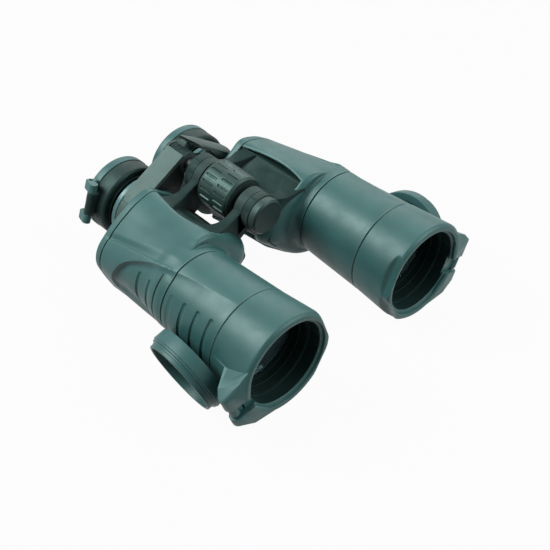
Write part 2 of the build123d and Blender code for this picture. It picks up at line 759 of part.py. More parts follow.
collar_meet = (arm_start + arm_end) / 2
front_collar = (arm_start, collar_meet - body_gap / 2)
rear_collar = (collar_meet + body_gap / 2, arm_end)
front_room = (arm_start, collar_meet + body_gap / 2)
rear_room = (collar_meet - body_gap / 2, arm_end)
save(bridge_arm(rear_collar, front_room, spindle_radius + running_gap), "left_bridge_arm")
with BuildPart() as right_bridge_arm:
    mirror(bridge_arm(front_collar, rear_room, spindle_radius).part, about=Plane.YZ)
save(right_bridge_arm, "right_bridge_arm")

# Eyepiece sleeve, ocular cell, lenses and the thin ring
sleeve_end = ring_start + ring_width + body_gap
save_pair(tube(sleeve_radius, sleeve_bore, sleeve_start, sleeve_end, EYEPIECE), "eyepiece_sleeve")

flange_start = sleeve_end + diopter_travel + body_gap
eye_lens_end = neck_start - eye_lens_recess
eye_lens_start = eye_lens_end - eye_lens_edge
field_lens_start = sleeve_start + diopter_travel + 2 * lens_land
ocular_cell = turned([
    (field_lens_radius - lens_land, field_lens_start - lens_land),
    (cell_radius, field_lens_start - lens_land),
    (cell_radius, flange_start), (ocular_flange_radius, flange_start),
    (ocular_flange_radius, flange_start + ocular_flange_width),
    (eyecup_bore_radius, flange_start + ocular_flange_width),
    (eyecup_bore_radius, eye_lens_end + lens_land), (eye_lens_radius - lens_land, eye_lens_end + lens_land),
    (eye_lens_radius - lens_land, eye_lens_end), (eye_lens_radius, eye_lens_end),
    (eye_lens_radius, eye_lens_start), (ocular_bore_radius, eye_lens_start - 2 * lens_land),
    (ocular_bore_radius, field_lens_start + field_lens_edge + 2 * lens_land),
    (field_lens_radius, field_lens_start + field_lens_edge), (field_lens_radius, field_lens_start),
    (field_lens_radius - lens_land, field_lens_start),
], EYEPIECE)
save_pair(ocular_cell, "ocular_cell")
save_pair(lens(field_lens_radius, field_lens_start, field_lens_start + field_lens_edge,
               -ocular_lens_bulge / 2, ocular_lens_bulge, EYEPIECE), "field_lens")
save_pair(lens(eye_lens_radius, eye_lens_start, eye_lens_end,
               ocular_lens_bulge, -ocular_lens_bulge / 2, EYEPIECE), "eye_lens")


def thin_ring(bore):
    """Narrow ring round the eyepiece sleeve, with bevelled edges."""
    end = ring_start + ring_width
    return turned([
        (bore, ring_start), (clamp_radius - ring_edge, ring_start), (clamp_radius, ring_start + ring_edge),
        (clamp_radius, end - ring_edge), (clamp_radius - ring_edge, end), (bore, end),
    ], EYEPIECE)


save(thin_ring(sleeve_radius), "left_eyepiece_ring")
with BuildPart() as diopter_ring:
    mirror(thin_ring(sleeve_radius + running_gap).part, about=Plane.YZ)
save(diopter_ring, "diopter_ring")

# Eyepiece cap's hinge, drawn with an upright pin on the outer side, through the eyecup's knuckle and the
# cap's ears
eye_hinge_x = eyepiece_x + eye_hinge_reach
eye_hinge_station = neck_start - eye_hinge_lead
ear_low = eye_knuckle_length / 2 + body_gap


def upright(radius, low, high):
    """Upright rod on the eyepiece cap's hinge line, between two heights from the eyepiece axis."""
    with BuildPart() as post:
        with BuildSketch(Plane.XY.offset(eyepiece_z + low)):
            with Locations((eye_hinge_x, front + eye_hinge_station)):
                Circle(radius)
        extrude(amount=high - low)
    return post


def ear_block(reach_in, reach_out, start, end, low, high):
    """Block beside the hinge line, between two reaches from the eyepiece axis and two stations."""
    with BuildPart() as block:
        with BuildSketch(Plane.XY.offset(eyepiece_z + low)):
            with Locations((eyepiece_x + reach_in, front + start)):
                Rectangle(reach_out - reach_in, end - start, align=(Align.MIN, Align.MIN))
        extrude(amount=high - low)
    return block.part


pin_half = ear_low + eye_ear_length
save_twisted(upright(eye_pin_radius, -pin_half, pin_half), "eyepiece_cap_pin")

# Eyecup with its neck for the cap and the middle knuckle
knuckle_half = eye_knuckle_length / 2
with BuildPart() as eyecup:
    add(turned([
        (ocular_flange_radius, eyecup_start), (eyecup_radius - eyecup_edge, eyecup_start),
        (eyecup_radius, eyecup_start + eyecup_edge), (eyecup_radius, neck_start),
        (eyecup_neck_radius, neck_start), (eyecup_neck_radius, neck_start + eyecup_neck_length),
        (eyecup_bore_radius, neck_start + eyecup_neck_length),
        (eyecup_bore_radius, flange_start + ocular_flange_width),
        (ocular_flange_radius, flange_start + ocular_flange_width),
    ], EYEPIECE).part)
    add(ear_block(eyecup_radius - eyecup_edge, eye_hinge_reach,
                  eye_hinge_station - eye_knuckle_radius + body_gap, neck_start, -knuckle_half, knuckle_half))
    add(upright(eye_knuckle_radius, -knuckle_half, knuckle_half).part)
    add(upright(eye_pin_radius, -knuckle_half, knuckle_half).part, mode=Mode.SUBTRACT)
save_twisted(eyecup, "eyecup")

# Eyepiece cap: a shallow cup over the eyecup's neck, with two ears on the hinge pin
skirt_bore = eyecup_neck_radius + eyepiece_cap_gap
ear_reach = eye_hinge_reach + eye_knuckle_radius
plate_start = eyepiece_end - eyepiece_cap_plate
with BuildPart() as eyepiece_cap:
    add(turned([
        (skirt_bore, cap_skirt_start), (eyepiece_cap_radius, cap_skirt_start),
        (eyepiece_cap_radius, eyepiece_end - eyepiece_cap_edge),
        (eyepiece_cap_radius - eyepiece_cap_edge, eyepiece_end),
        (0, eyepiece_end), (0, plate_start), (skirt_bore, plate_start),
    ], EYEPIECE).part)
    for low, high in ((ear_low, pin_half), (-pin_half, -ear_low)):
        add(ear_block(skirt_bore - body_gap, ear_reach, cap_skirt_start, plate_start, low, high))
        add(ear_block(eyecup_radius + 2 * body_gap, ear_reach, eye_hinge_station, cap_skirt_start, low, high))
        add(upright(eye_knuckle_radius, low, high).part)
    add(rod(skirt_bore, cap_skirt_start, plate_start, EYEPIECE), mode=Mode.SUBTRACT)
    add(upright(eye_pin_radius + running_gap, -pin_half, pin_half).part, mode=Mode.SUBTRACT)
save_twisted(eyepiece_cap, "eyepiece_cap")
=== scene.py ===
"""Looks of the folding binoculars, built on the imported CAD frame.

Lengths are in millimetres until a mesh is made. Shapes are drawn for the left half (+X) and mirrored for
the right half. A station is a distance behind the front face of the hoods. An angle is about the objective
axis: 0 points outwards, 90 up and 180 to the hinge.
"""
import json
from math import cos, radians, sin

import bmesh
import bpy
import numpy as np
from mathutils import Matrix, Vector


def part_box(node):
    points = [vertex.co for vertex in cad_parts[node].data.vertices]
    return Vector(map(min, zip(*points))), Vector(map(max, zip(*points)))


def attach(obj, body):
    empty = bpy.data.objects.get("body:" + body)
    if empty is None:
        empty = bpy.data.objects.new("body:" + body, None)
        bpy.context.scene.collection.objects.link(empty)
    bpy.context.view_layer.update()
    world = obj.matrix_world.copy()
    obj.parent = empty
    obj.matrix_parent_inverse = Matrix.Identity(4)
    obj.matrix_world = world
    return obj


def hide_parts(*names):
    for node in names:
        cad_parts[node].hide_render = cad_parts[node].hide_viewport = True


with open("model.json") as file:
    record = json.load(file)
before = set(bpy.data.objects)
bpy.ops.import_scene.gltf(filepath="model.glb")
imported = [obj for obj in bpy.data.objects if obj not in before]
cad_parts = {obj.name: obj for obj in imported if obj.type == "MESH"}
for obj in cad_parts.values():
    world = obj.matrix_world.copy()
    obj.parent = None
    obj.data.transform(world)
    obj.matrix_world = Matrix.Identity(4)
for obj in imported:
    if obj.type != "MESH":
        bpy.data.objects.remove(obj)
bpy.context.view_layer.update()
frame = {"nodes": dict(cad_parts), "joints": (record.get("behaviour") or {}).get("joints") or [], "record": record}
MM = 0.001  # metres
WELD = 0.005  # points closer than this become one
CORNER_SHARE = 0.49  # most of an edge that one rounded corner takes
SHARP_ANGLE = radians(40)  # edges that bend more aren't shaded smooth
SIDES = (("left", 1), ("right", -1))
HALVES = ("left_half", "right_half")
CARRIAGES = ("left_carriage", "right_carriage")


def extent(node):
    """Lowest and highest corner of a CAD node at rest."""
    low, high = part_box(node)
    return np.array(low) / MM, np.array(high) / MM


def axis_of(node):
    """Place (x, z) of the axis of a round CAD node."""
    low, high = extent(node)
    return (low[0] + high[0]) / 2, (low[2] + high[2]) / 2


def radius_of(node):
    """Half the width of a round CAD node."""
    low, high = extent(node)
    return (high[0] - low[0]) / 2


def stations(node):
    """First and last station of a CAD node."""
    low, high = extent(node)
    return low[1] - FRONT, high[1] - FRONT


def joint(name):
    """The record's entry for a joint."""
    return next(j for j in frame["joints"] if j["name"] == name)


# Places that come from the frame
FRONT = extent("left_front_hood")[0][1]
OBJECTIVE = axis_of("left_objective_tube")
EYEPIECE = axis_of("left_eyepiece_sleeve")
HINGE = axis_of("focus_spindle")
BARREL_RADIUS = radius_of("left_objective_tube")
SLEEVE_RADIUS = radius_of("left_eyepiece_sleeve")
HOOD_END = stations("left_front_hood")[1]
TUBE_START, TUBE_END = stations("left_armour_tube")
COLLAR_START, SEAM = stations("left_armour_prism")
REAR_START, HOUSING_END = stations("left_armour_rear")

# Armour
hood_front_radius = 34.4
hood_rear_radius = 31.8
collar_radius = 29.5
wall_station = 86.0
armour_thickness = 2.2
seam_round = 0.5
wall_fillet = 5.0
shoulder_round = 12.0
rear_round = 2.5
barrel_gap = 0.05
sleeve_gap = 0.5
rear_wall_rings = (0.03, 0.25, 0.5, 0.75, 0.95, 1.0)

# Front wall: fillet and shoulder take a share of its height. It fades out where it is low, and there the side
# eases in behind it.
fillet_share = 0.3
shoulder_share = 0.6
wall_fade = (1.0, 4.0)
side_ease = 14.0

# Soft swellings of the housing: angle of the middle, breadth and height. The lobes fade out along a share of
# the housing's length.
lobes = ((228, 44, 4.2), (165, 36, 3), (108, 34, 1))
lobe_length = 0.5
edge_swell = (116, 32, 2)

# Outer side of the CAD housing, hidden by the armour: its angles, and how far it is pulled in and back
core_hidden_from = (-148.0, -134.0)
core_hidden_to = (92.0, 104.0)
core_relief = 3.8
core_setback = 4.0
core_least_radius = 10.0

# Columns of the armoured side, crowded towards the grip, and of the bare panel; rows and points of the meshes
FINE, PANEL = 260, 60
crowding = 0.10
side_rows = 112
tube_columns = 420
tube_rows = 90
section_count = 40
section_points = 600

# Corners of the housing's front and rear section from the left objective axis, and how much each is rounded
front_corners = [
    (-19.1, 29), (2.9, 30.5), (18.9, 24), (28.3, 10), (29.6, -5), (22.5, -20), (9, -30),
    (-9, -31.5), (-25.1, -23), (-44.1, -13), (-52.1, -5), (-48.6, 6), (-37.1, 18),
]
rear_corners = [
    (-19.6, 29.5), (-0.1, 23), (11.9, 13.5), (21.5, 3.5), (23.5, -7), (17.5, -21), (8, -OBJECTIVE[1]),
    (-13.1, -OBJECTIVE[1]), (-29.1, -33), (-45.6, -23.5), (-52.6, -8), (-49.6, 5), (-37.1, 18),
]
corner_rounds = (5, 8, 7, 9, 9, 9, 7, 7, 8, 6, 6, 6, 6)

# Bare panel on the hinge side: angle of its upper and its lower edge, by station
panel_upper_edge = [(86, 126), (92, 123.4), (101, 120.5), (111, 119.2), (123, 121), (134, 124.6), (149.5, 131)]
panel_lower_edge = [(86, 197), (149.5, 208)]

# Grip: a hollow on the outer side, with its upper edge, depth and softness by station, and round grooves.
# Neither goes deeper than the room under the armour.
grip_edge = [(36, 71.5), (47, 69), (57.5, 66.5), (68, 64.5), (80, 60.5), (90, 56), (100, 51),
             (113, 38.5), (121.5, 24), (126.5, 7.5), (131, -18.5), (134, -45)]
grip_depth = [(36, 0.4), (60, 1.1), (80, 1.5), (90, 2.2), (102, 3.2), (115, 3.4), (126, 3), (134, 1.4)]
grip_softness = [(36, 18), (80, 15), (100, 13), (134, 13)]
grip_crispness = 3.2
grip_end = (131.0, 134.0)
grip_bottom = (-55.0, -38.0)
relief_room = [(36, 3.6), (79, 1.6), (86, 1.6), (94, 4.4), (149.5, 4.4)]
groove_count = 7
groove_first = 40.5
groove_pitch = 11.15
groove_tops = (40.5, 25.0)
groove_bottom = -36.0
groove_half_width = 1.7
groove_depth = 1.0
groove_wall = (0.45, 1.0)

# Valley along the top of the housing: angles of its soft upper edge and its crisp lower edge, by station
valley_upper = [(81, 78), (87, 76.2), (100, 72.6), (112.6, 68), (125, 61.3), (149.5, 49)]
valley_lower = [(81, 60.3), (87, 58.3), (100, 54.9), (114.5, 50.8), (129, 44.1), (149.5, 30.5)]
valley_depth = 1.2
valley_slope = (0.0, 0.8)
valley_crease = (0.9, 1.04)
valley_start = (80.0, 92.0)
valley_end = (138.0, 149.0)


# Curves and grids

def smoothstep(low, high, x):
    """Rises from 0 at low to 1 at high."""
    t = np.clip((x - low) / (high - low), 0, 1)
    return t * t * (3 - 2 * t)


def curve(points, x):
    """Smooth curve through points (x, y), taken at x."""
    px, py = np.array(points, float).T
    slope = np.gradient(py, px)
    x = np.clip(x, px[0], px[-1])
    i = np.clip(np.searchsorted(px, x) - 1, 0, len(px) - 2)
    span = px[i + 1] - px[i]
    t = (x - px[i]) / span
    start = (1 + 2 * t) * (1 - t) ** 2 * py[i] + t * (1 - t) ** 2 * span * slope[i]
    end = t * t * (3 - 2 * t) * py[i + 1] + t * t * (t - 1) * span * slope[i + 1]
    return start + end


def rounded(points, rounds, closed, steps=5):
    """Path through points with each corner rounded from so far before it to so far after it."""
    points = np.array(points, float)
    path = []
    for i, (here, reach) in enumerate(zip(points, rounds)):
        if reach == 0 or (not closed and i in (0, len(points) - 1)):
            path.append(here)
            continue
        before, after = points[i - 1] - here, points[(i + 1) % len(points)] - here
        first, last = np.linalg.norm(before), np.linalg.norm(after)
        reach = min(reach, CORNER_SHARE * first, CORNER_SHARE * last)
        start, end = here + before / first * reach, here + after / last * reach
        for t in np.linspace(0, 1, steps):
            path.append((1 - t) ** 2 * start + 2 * t * (1 - t) * here + t * t * end)
    return np.array(path)


def grid(points, keep=None):
    """Vertices and faces of points in (rows, columns, 3), closed round the rows. keep says which faces stay."""
    rows, columns = points.shape[:2]
    index = np.arange(rows * columns).reshape(rows, columns)
    beside = np.roll(index, -1, 1)
    faces = np.stack([index[:-1], index[1:], beside[1:], beside[:-1]], -1)
    if keep is not None:
        faces = faces[keep]
    return points.reshape(-1, 3), faces.reshape(-1, 4).tolist()


def lathe(profile, origin, along=(0, 1, 0), segments=128):
    """Body of revolution from (radius, distance along the axis)."""
    axis = np.array(along, float)
    side = np.cross(axis, (0, 0, 1)) if abs(axis[2]) < 0.9 else np.array((1.0, 0.0, 0.0))
    side = side / np.linalg.norm(side)
    up = np.cross(side, axis)
    turn = np.linspace(0, 2 * np.pi, segments, endpoint=False)
    ring = np.outer(np.cos(turn), side) + np.outer(np.sin(turn), up)
    profile = np.array(profile, float)
    points = profile[:, :1, None] * ring[None] + profile[:, 1:, None] * axis + np.array(origin, float)
    return grid(points)


def turned(corners, origin, along=(0, 1, 0), segments=128):
    """Body of revolution from corners (radius, distance along the axis, rounding)."""
    corners = np.array(corners, float)
    return lathe(rounded(corners[:, :2], corners[:, 2], closed=False), origin, along, segments)


def rod(radius, low, high, edge, origin, along, segments):
    """Round rod between two distances along an axis, with rounded ends."""
    corners = [(0, low, 0), (radius, low, edge), (radius, high, edge), (0, high, 0)]
    return turned(corners, origin, along, segments)


def on_axis(at, station=0.0):
    """Point on an axis (x, z) that runs along the barrels, at a station."""
    return np.array((at[0], FRONT + station, at[1]))


def from_bmesh(bm):
    """Vertices and faces of a bmesh, which is then freed."""
    bm.verts.index_update()
    verts = np.array([v.co for v in bm.verts], float)
    faces = [[v.index for v in f.verts] for f in bm.faces]
    bm.free()
    return verts, faces


def block(low, high, edge, place=Matrix.Identity(4)):
    """Box between two corners with rounded edges, moved by a matrix."""
    low, high = np.array(low, float), np.array(high, float)
    bm = bmesh.new()
    bmesh.ops.create_cube(bm, size=1.0, matrix=Matrix.LocRotScale((low + high) / 2, None, high - low))
    bmesh.ops.bevel(bm, geom=bm.edges, offset=edge, segments=3, profile=0.5, affect="EDGES")
    bm.transform(place)
    return from_bmesh(bm)


def hull(points, edge=0.0):
    """Convex hull of points, or of small balls at the points, which rounds its edges."""
    levels, turns = np.radians((-60, -20, 20, 60)), np.radians(np.arange(0, 360, 45))
    ball = [(cos(level) * cos(turn), cos(level) * sin(turn), sin(level)) for level in levels for turn in turns]
    bm = bmesh.new()
    for point in points:
        bm.verts.new(point)
        if edge:
            for offset in ball:
                bm.verts.new(np.array(point) + edge * np.array(offset))
    result = bmesh.ops.convex_hull(bm, input=bm.verts)
    spare = {part for part in result["geom_interior"] + result["geom_unused"]
             if isinstance(part, bmesh.types.BMVert)}
    bmesh.ops.delete(bm, geom=list(spare), context="VERTS")
    bmesh.ops.recalc_face_normals(bm, faces=bm.faces)
    return from_bmesh(bm)


def joined(*shapes):
    """Several shapes as one."""
    verts, faces, count = [], [], 0
    for points, polygons in shapes:
        verts.append(np.asarray(points))
        faces += [[i + count for i in polygon] for polygon in polygons]
        count += len(points)
    return np.concatenate(verts), faces


def mesh_of(name, shape):
    """Mesh in metres, with doubled points welded and points without a face removed."""
    mesh = bpy.data.meshes.new(name)
    mesh.from_pydata((shape[0] * MM).tolist(), [], shape[1])
    bm = bmesh.new()
    bm.from_mesh(mesh)
    bmesh.ops.remove_doubles(bm, verts=bm.verts, dist=WELD * MM)
    bmesh.ops.delete(bm, geom=[v for v in bm.verts if not v.link_faces], context="VERTS")
    bm.to_mesh(mesh)
    bm.free()
    return mesh


def linked(name, mesh):
    """New object in the scene."""
    obj = bpy.data.objects.new(name, mesh)
    bpy.context.scene.collection.objects.link(obj)
    return obj


def shape_of(mesh):
    """Vertices in millimetres and faces of a mesh."""
    return np.array([v.co for v in mesh.vertices], float) / MM, [list(p.vertices) for p in mesh.polygons]


def carved(shape, additions, cuts):
    """Shape with other shapes merged into it, and then with others cut out of it."""
    body = linked("carved", mesh_of("carved", shape))
    others = []
    for operation, parts in (("UNION", additions), ("DIFFERENCE", cuts)):
        for part in parts:
            others.append(linked("other", mesh_of("other", part)))
            step = body.modifiers.new(operation, "BOOLEAN")
            step.object = others[-1]
            step.operation = operation
            step.solver = "EXACT"
    finished = body.evaluated_get(bpy.context.evaluated_depsgraph_get())
    result = shape_of(bpy.data.meshes.new_from_object(finished))
    for obj in [body] + others:
        bpy.data.objects.remove(obj)
    return result


def piece(name, shape, slot, body, nodes, side=1):
    """Object made of a shape that stands for CAD nodes and moves with a body. Side -1 mirrors it."""
    verts, faces = shape
    if side < 0:
        verts = verts * (-1, 1, 1)
        faces = [polygon[::-1] for polygon in faces]
    mesh = mesh_of(name, (verts, faces))
    mesh.polygons.foreach_set("use_smooth", [True] * len(mesh.polygons))
    mesh.set_sharp_from_angle(angle=SHARP_ANGLE)
    mesh.materials.append(MATERIALS[slot])
    obj = linked(name, mesh)
    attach(obj, body)
    if nodes:
        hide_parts(*nodes)
    return obj


def pair(name, shape, slot, bodies, nodes):
    """The piece for the left half and its mirror image for the right half."""
    made = []
    for (half, side), body in zip(SIDES, bodies):
        own = [f"{half}_{node}" for node in nodes]
        made.append(piece(f"{half}_{name}", shape, slot, body, own, side))
    return made


def soften(obj, width):
    """Round the sharp edges of an object."""
    bevel = obj.modifiers.new("edges", "BEVEL")
    bevel.width = width * MM
    bevel.segments = 3
    bevel.limit_method = "ANGLE"
    bevel.angle_limit = SHARP_ANGLE


# Materials

NOISE_RANGE = (0.3, 0.7)  # where most of a noise lies
EDGE_RANGE = (0.52, 0.60)  # Pointiness at which an edge starts to lighten, and at which it is fully lighter: wear and a painted highlight
CLOUD_SCALE = 45.0
GLOSS_SCALE = 130.0
GREEN_SHEEN = (0.80, 1.0, 0.97)
BLACK_SHEEN = (0.6, 1.0, 0.92)


def material(name):
    """New node material, its node tree and its shader."""
    made = bpy.data.materials.new(name)
    made.use_nodes = True
    tree = made.node_tree
    return made, tree, tree.nodes["Principled BSDF"]


def fill(tree, node, inputs):
    """Put constants or links on a node's inputs, by name or number."""
    for key, value in inputs.items():
        if isinstance(value, bpy.types.NodeSocket):
            tree.links.new(value, node.inputs[key])
        else:
            node.inputs[key].default_value = value


def add(tree, kind, inputs, **settings):
    """New node of a kind, with its settings and its inputs."""
    node = tree.nodes.new(f"ShaderNode{kind}")
    for name, value in settings.items():
        setattr(node, name, value)
    fill(tree, node, inputs)
    return node


def noise(tree, scale, detail=4.0, stretch=(1, 1, 1)):
    """Noise over the object's own coordinates, whose scale is in waves per metre."""
    coords = add(tree, "TexCoord", {})
    mapping = add(tree, "Mapping", {"Vector": coords.outputs["Object"], "Scale": stretch})
    texture = add(tree, "TexNoise", {"Vector": mapping.outputs["Vector"], "Scale": scale, "Detail": detail})
    return texture.outputs["Fac"]


def ramp(tree, value, positions, colours):
    """Colour ramp over a value, between two positions with a colour each."""
    node = add(tree, "ValToRGB", {"Fac": value})
    for element, position, colour in zip(node.color_ramp.elements, positions, colours):
        element.position = position
        element.color = (*colour, 1.0)
    return node.outputs["Color"]


def spread(tree, value, low, high):
    """Noise mapped to the range from low to high."""
    node = add(tree, "MapRange", {"Value": value, "From Min": NOISE_RANGE[0], "From Max": NOISE_RANGE[1],
                                  "To Min": low, "To Max": high})
    return node.outputs["Result"]


def bump(tree, value, height):
    """Normal of a surface that rises and falls with a value."""
    return add(tree, "Bump", {"Height": value, "Distance": height * MM}).outputs["Normal"]


def worn_and_highlit(tree, colour, edge, amount):
    """Colour that turns lighter on sharp outer edges, partly as wear and partly as a painted highlight."""
    geometry = add(tree, "NewGeometry", {})
    edges = ramp(tree, geometry.outputs["Pointiness"], EDGE_RANGE, ((0, 0, 0), (amount,) * 3))
    return add(tree, "Mix", {0: edges, 6: colour, 7: (*edge, 1.0)}, data_type="RGBA").outputs[2]


def moulding(name, sheen, dark, light, edge, roughness, grain, grain_height, wear_and_highlight, gloss):
    """Moulded or painted surface: cloudy colour, paler edges from wear and a painted highlight, uneven gloss and a
    fine grain.
    """
    made, tree, shader = material(name)
    colour = ramp(tree, noise(tree, CLOUD_SCALE), NOISE_RANGE, (dark, light))
    fill(tree, shader, {
        "Base Color": worn_and_highlit(tree, colour, edge, wear_and_highlight),
        "Roughness": spread(tree, noise(tree, GLOSS_SCALE), *roughness),
        "Specular IOR Level": gloss,
        "Specular Tint": (*sheen, 1.0),
        "Normal": bump(tree, noise(tree, grain, detail=2.0), grain_height),
    })
    return made


def glass(name, colour, reflection):
    """Coated optical glass with faint unevenness in its gloss."""
    made, tree, shader = material(name)
    fill(tree, shader, {
        "Base Color": ramp(tree, noise(tree, 25.0, detail=1.0), (0.35, 0.65), (colour, reflection)),
        "Roughness": spread(tree, noise(tree, 60.0), low=0.01, high=0.03),
        "IOR": 1.52,
        "Transmission Weight": 0.95,
    })
    return made


def turned_metal(name, dark, light, roughness):
    """Machined metal with fine turning marks."""
    made, tree, shader = material(name)
    marks = noise(tree, 900.0, detail=3.0, stretch=(0.08, 3.0, 0.08))
    fill(tree, shader, {
        "Base Color": ramp(tree, marks, NOISE_RANGE, (dark, light)),
        "Roughness": spread(tree, marks, *roughness),
        "Metallic": 1.0,
        "Normal": bump(tree, marks, height=0.02),
    })
    return made


# Mouldings: dark and light colour, colour of worn edges with a painted highlight, roughness, grain per metre and
# its height, strength of edge wear and painted highlight, gloss
GREEN = {
    # The armour's edges are lightened most: much of that is a painted highlight on its rounded rims.
    "armour": ((0.017, 0.059, 0.058), (0.024, 0.075, 0.073), (0.11, 0.2, 0.195), (0.38, 0.48),
               2200, 0.03, 0.6, 0.28),
    "cap": ((0.017, 0.057, 0.057), (0.023, 0.07, 0.07), (0.09, 0.17, 0.165), (0.38, 0.48),
            2200, 0.03, 0.2, 0.28),
    "ring": ((0.018, 0.06, 0.062), (0.025, 0.074, 0.076), (0.1, 0.19, 0.19), (0.34, 0.44),
             2400, 0.02, 0.35, 0.4),
    "shelf": ((0.006, 0.008, 0.008), (0.01, 0.012, 0.012), (0.04, 0.04, 0.04), (0.45, 0.55),
              1600, 0.03, 0.35, 0.4),
}
BLACK = {
    "eyecup": ((0.003, 0.009, 0.008), (0.006, 0.014, 0.013), (0.03, 0.045, 0.042), (0.46, 0.58),
               1800, 0.05, 0.35, 0.25),
    "housing": ((0.004, 0.013, 0.012), (0.008, 0.019, 0.017), (0.05, 0.07, 0.066), (0.46, 0.58),
                1500, 0.05, 0.35, 0.1),
    "bridge": ((0.01, 0.023, 0.02), (0.021, 0.039, 0.035), (0.1, 0.125, 0.12), (0.42, 0.52),
               1300, 0.06, 0.35, 0.25),
    "knob": ((0.003, 0.01, 0.009), (0.006, 0.014, 0.013), (0.05, 0.07, 0.065), (0.42, 0.54),
             1500, 0.05, 0.35, 0.25),
    "grip": ((0.007, 0.017, 0.015), (0.013, 0.026, 0.023), (0.08, 0.1, 0.095), (0.36, 0.46),
             1700, 0.04, 0.35, 0.3),
    "barrel": ((0.002, 0.007, 0.006), (0.004, 0.011, 0.01), (0.02, 0.03, 0.03), (0.45, 0.58),
               1800, 0.03, 0.2, 0.1),
}
MATERIALS = {name: moulding(name, GREEN_SHEEN, *look) for name, look in GREEN.items()}
MATERIALS |= {name: moulding(name, BLACK_SHEEN, *look) for name, look in BLACK.items()}
MATERIALS["lens"] = glass("lens", (0.1, 0.2, 0.19), (0.16, 0.24, 0.26))
MATERIALS["prism"] = glass("prism", (0.6, 0.66, 0.66), (0.68, 0.72, 0.72))
MATERIALS["steel"] = turned_metal("steel", (0.022, 0.028, 0.028), (0.045, 0.052, 0.052), (0.42, 0.56))
MATERIALS["brass"] = turned_metal("brass", (0.5, 0.34, 0.12), (0.72, 0.53, 0.22), (0.22, 0.35))

for entry in frame["record"]["subparts"]:
    node = frame["nodes"][entry["node"]]
    for place in node.material_slots:
        place.material = MATERIALS[entry["material_slot"]]


# Armour of the housing and the barrel

def outline(station):
    """Angles and reaches of the housing's outline from the objective axis."""
    share = (station - wall_station) / (HOUSING_END - wall_station)
    corners = (1 - share) * np.array(front_corners) + share * np.array(rear_corners)
    path = rounded(corners, corner_rounds, closed=True, steps=7)
    path = np.concatenate([path, path[:1]])
    length = np.concatenate([[0], np.cumsum(np.linalg.norm(np.diff(path, axis=0), axis=1))])
    even = np.linspace(0, length[-1], section_points, endpoint=False)
    x, z = np.interp(even, length, path[:, 0]), np.interp(even, length, path[:, 1])
    return np.degrees(np.arctan2(z, x)), np.hypot(x, z)


sections = [outline(station) for station in np.linspace(wall_station, HOUSING_END, section_count)]


def bulge(angle, middle, breadth, height):
    """Soft rise of the surface about an angle."""
    away = np.abs((angle - middle + 180) % 360 - 180) / breadth
    return height * (1 - smoothstep(0, 1, away))


def reach(station, angle):
    """Distance of the housing's surface from the objective axis."""
    place = np.clip((station - wall_station) / (HOUSING_END - wall_station), 0, 1) * (len(sections) - 1)
    below = np.minimum(place.astype(int), len(sections) - 2)
    table = np.stack([np.interp(angle, a, r, period=360) for a, r in sections])
    rows = np.indices(angle.shape)
    low, high = table[(below, *rows)], table[(below + 1, *rows)]
    fade = 1 - smoothstep(0.0, lobe_length, place / (len(sections) - 1))
    swell = bulge(angle, *edge_swell) + fade * sum(bulge(angle, *lobe) for lobe in lobes)
    return low + (high - low) * (place - below) + swell


def relief(station, angle):
    """How far the armour is sunk by the grip's hollow, its grooves and the valley above it."""
    angle = (angle + 180) % 360 - 180
    below = np.clip((curve(grip_edge, station) - angle) / curve(grip_softness, station), 0, 1)
    inside = 1 - (1 - below) ** grip_crispness
    bounds = smoothstep(*grip_bottom, angle) * (1 - smoothstep(*grip_end, station))
    sunk = curve(grip_depth, station) * inside * bounds
    for i in range(groove_count):
        top = groove_tops[0] + (groove_tops[1] - groove_tops[0]) * i / (groove_count - 1)
        past = np.maximum(angle - top, groove_bottom - angle).clip(0) * radians(1) * collar_radius
        away = np.hypot(station - groove_first - groove_pitch * i, past)
        sunk = sunk + groove_depth * (1 - smoothstep(*groove_wall, away / groove_half_width))
    sunk = np.minimum(sunk, curve(relief_room, station))
    upper, lower = curve(valley_upper, station), curve(valley_lower, station)
    depth = (upper - angle) / (upper - lower)
    valley = smoothstep(*valley_slope, depth) * (1 - smoothstep(*valley_crease, depth))
    valley = valley * smoothstep(*valley_start, station) * (1 - smoothstep(*valley_end, station))
    return sunk + valley_depth * valley


def around(station):
    """Angles of the columns at a station: the armoured side in fine steps, then the bare panel."""
    upper, lower = curve(panel_upper_edge, station), curve(panel_lower_edge, station)
    share = np.linspace(0, 1, FINE)
    dense = share + crowding * np.sin(2 * np.pi * share)
    armoured = lower - 360 + (upper - lower + 360) * dense
    bare = upper + (lower - upper) * np.linspace(0, 1, PANEL + 2)[1:-1]
    return np.concatenate([armoured, bare])


def polar(radius, station, angle):
    """Points from polar places about the objective axis."""
    turn = np.radians(angle)
    return np.stack([OBJECTIVE[0] + radius * np.cos(turn), FRONT + station,
                     OBJECTIVE[1] + radius * np.sin(turn)], -1)


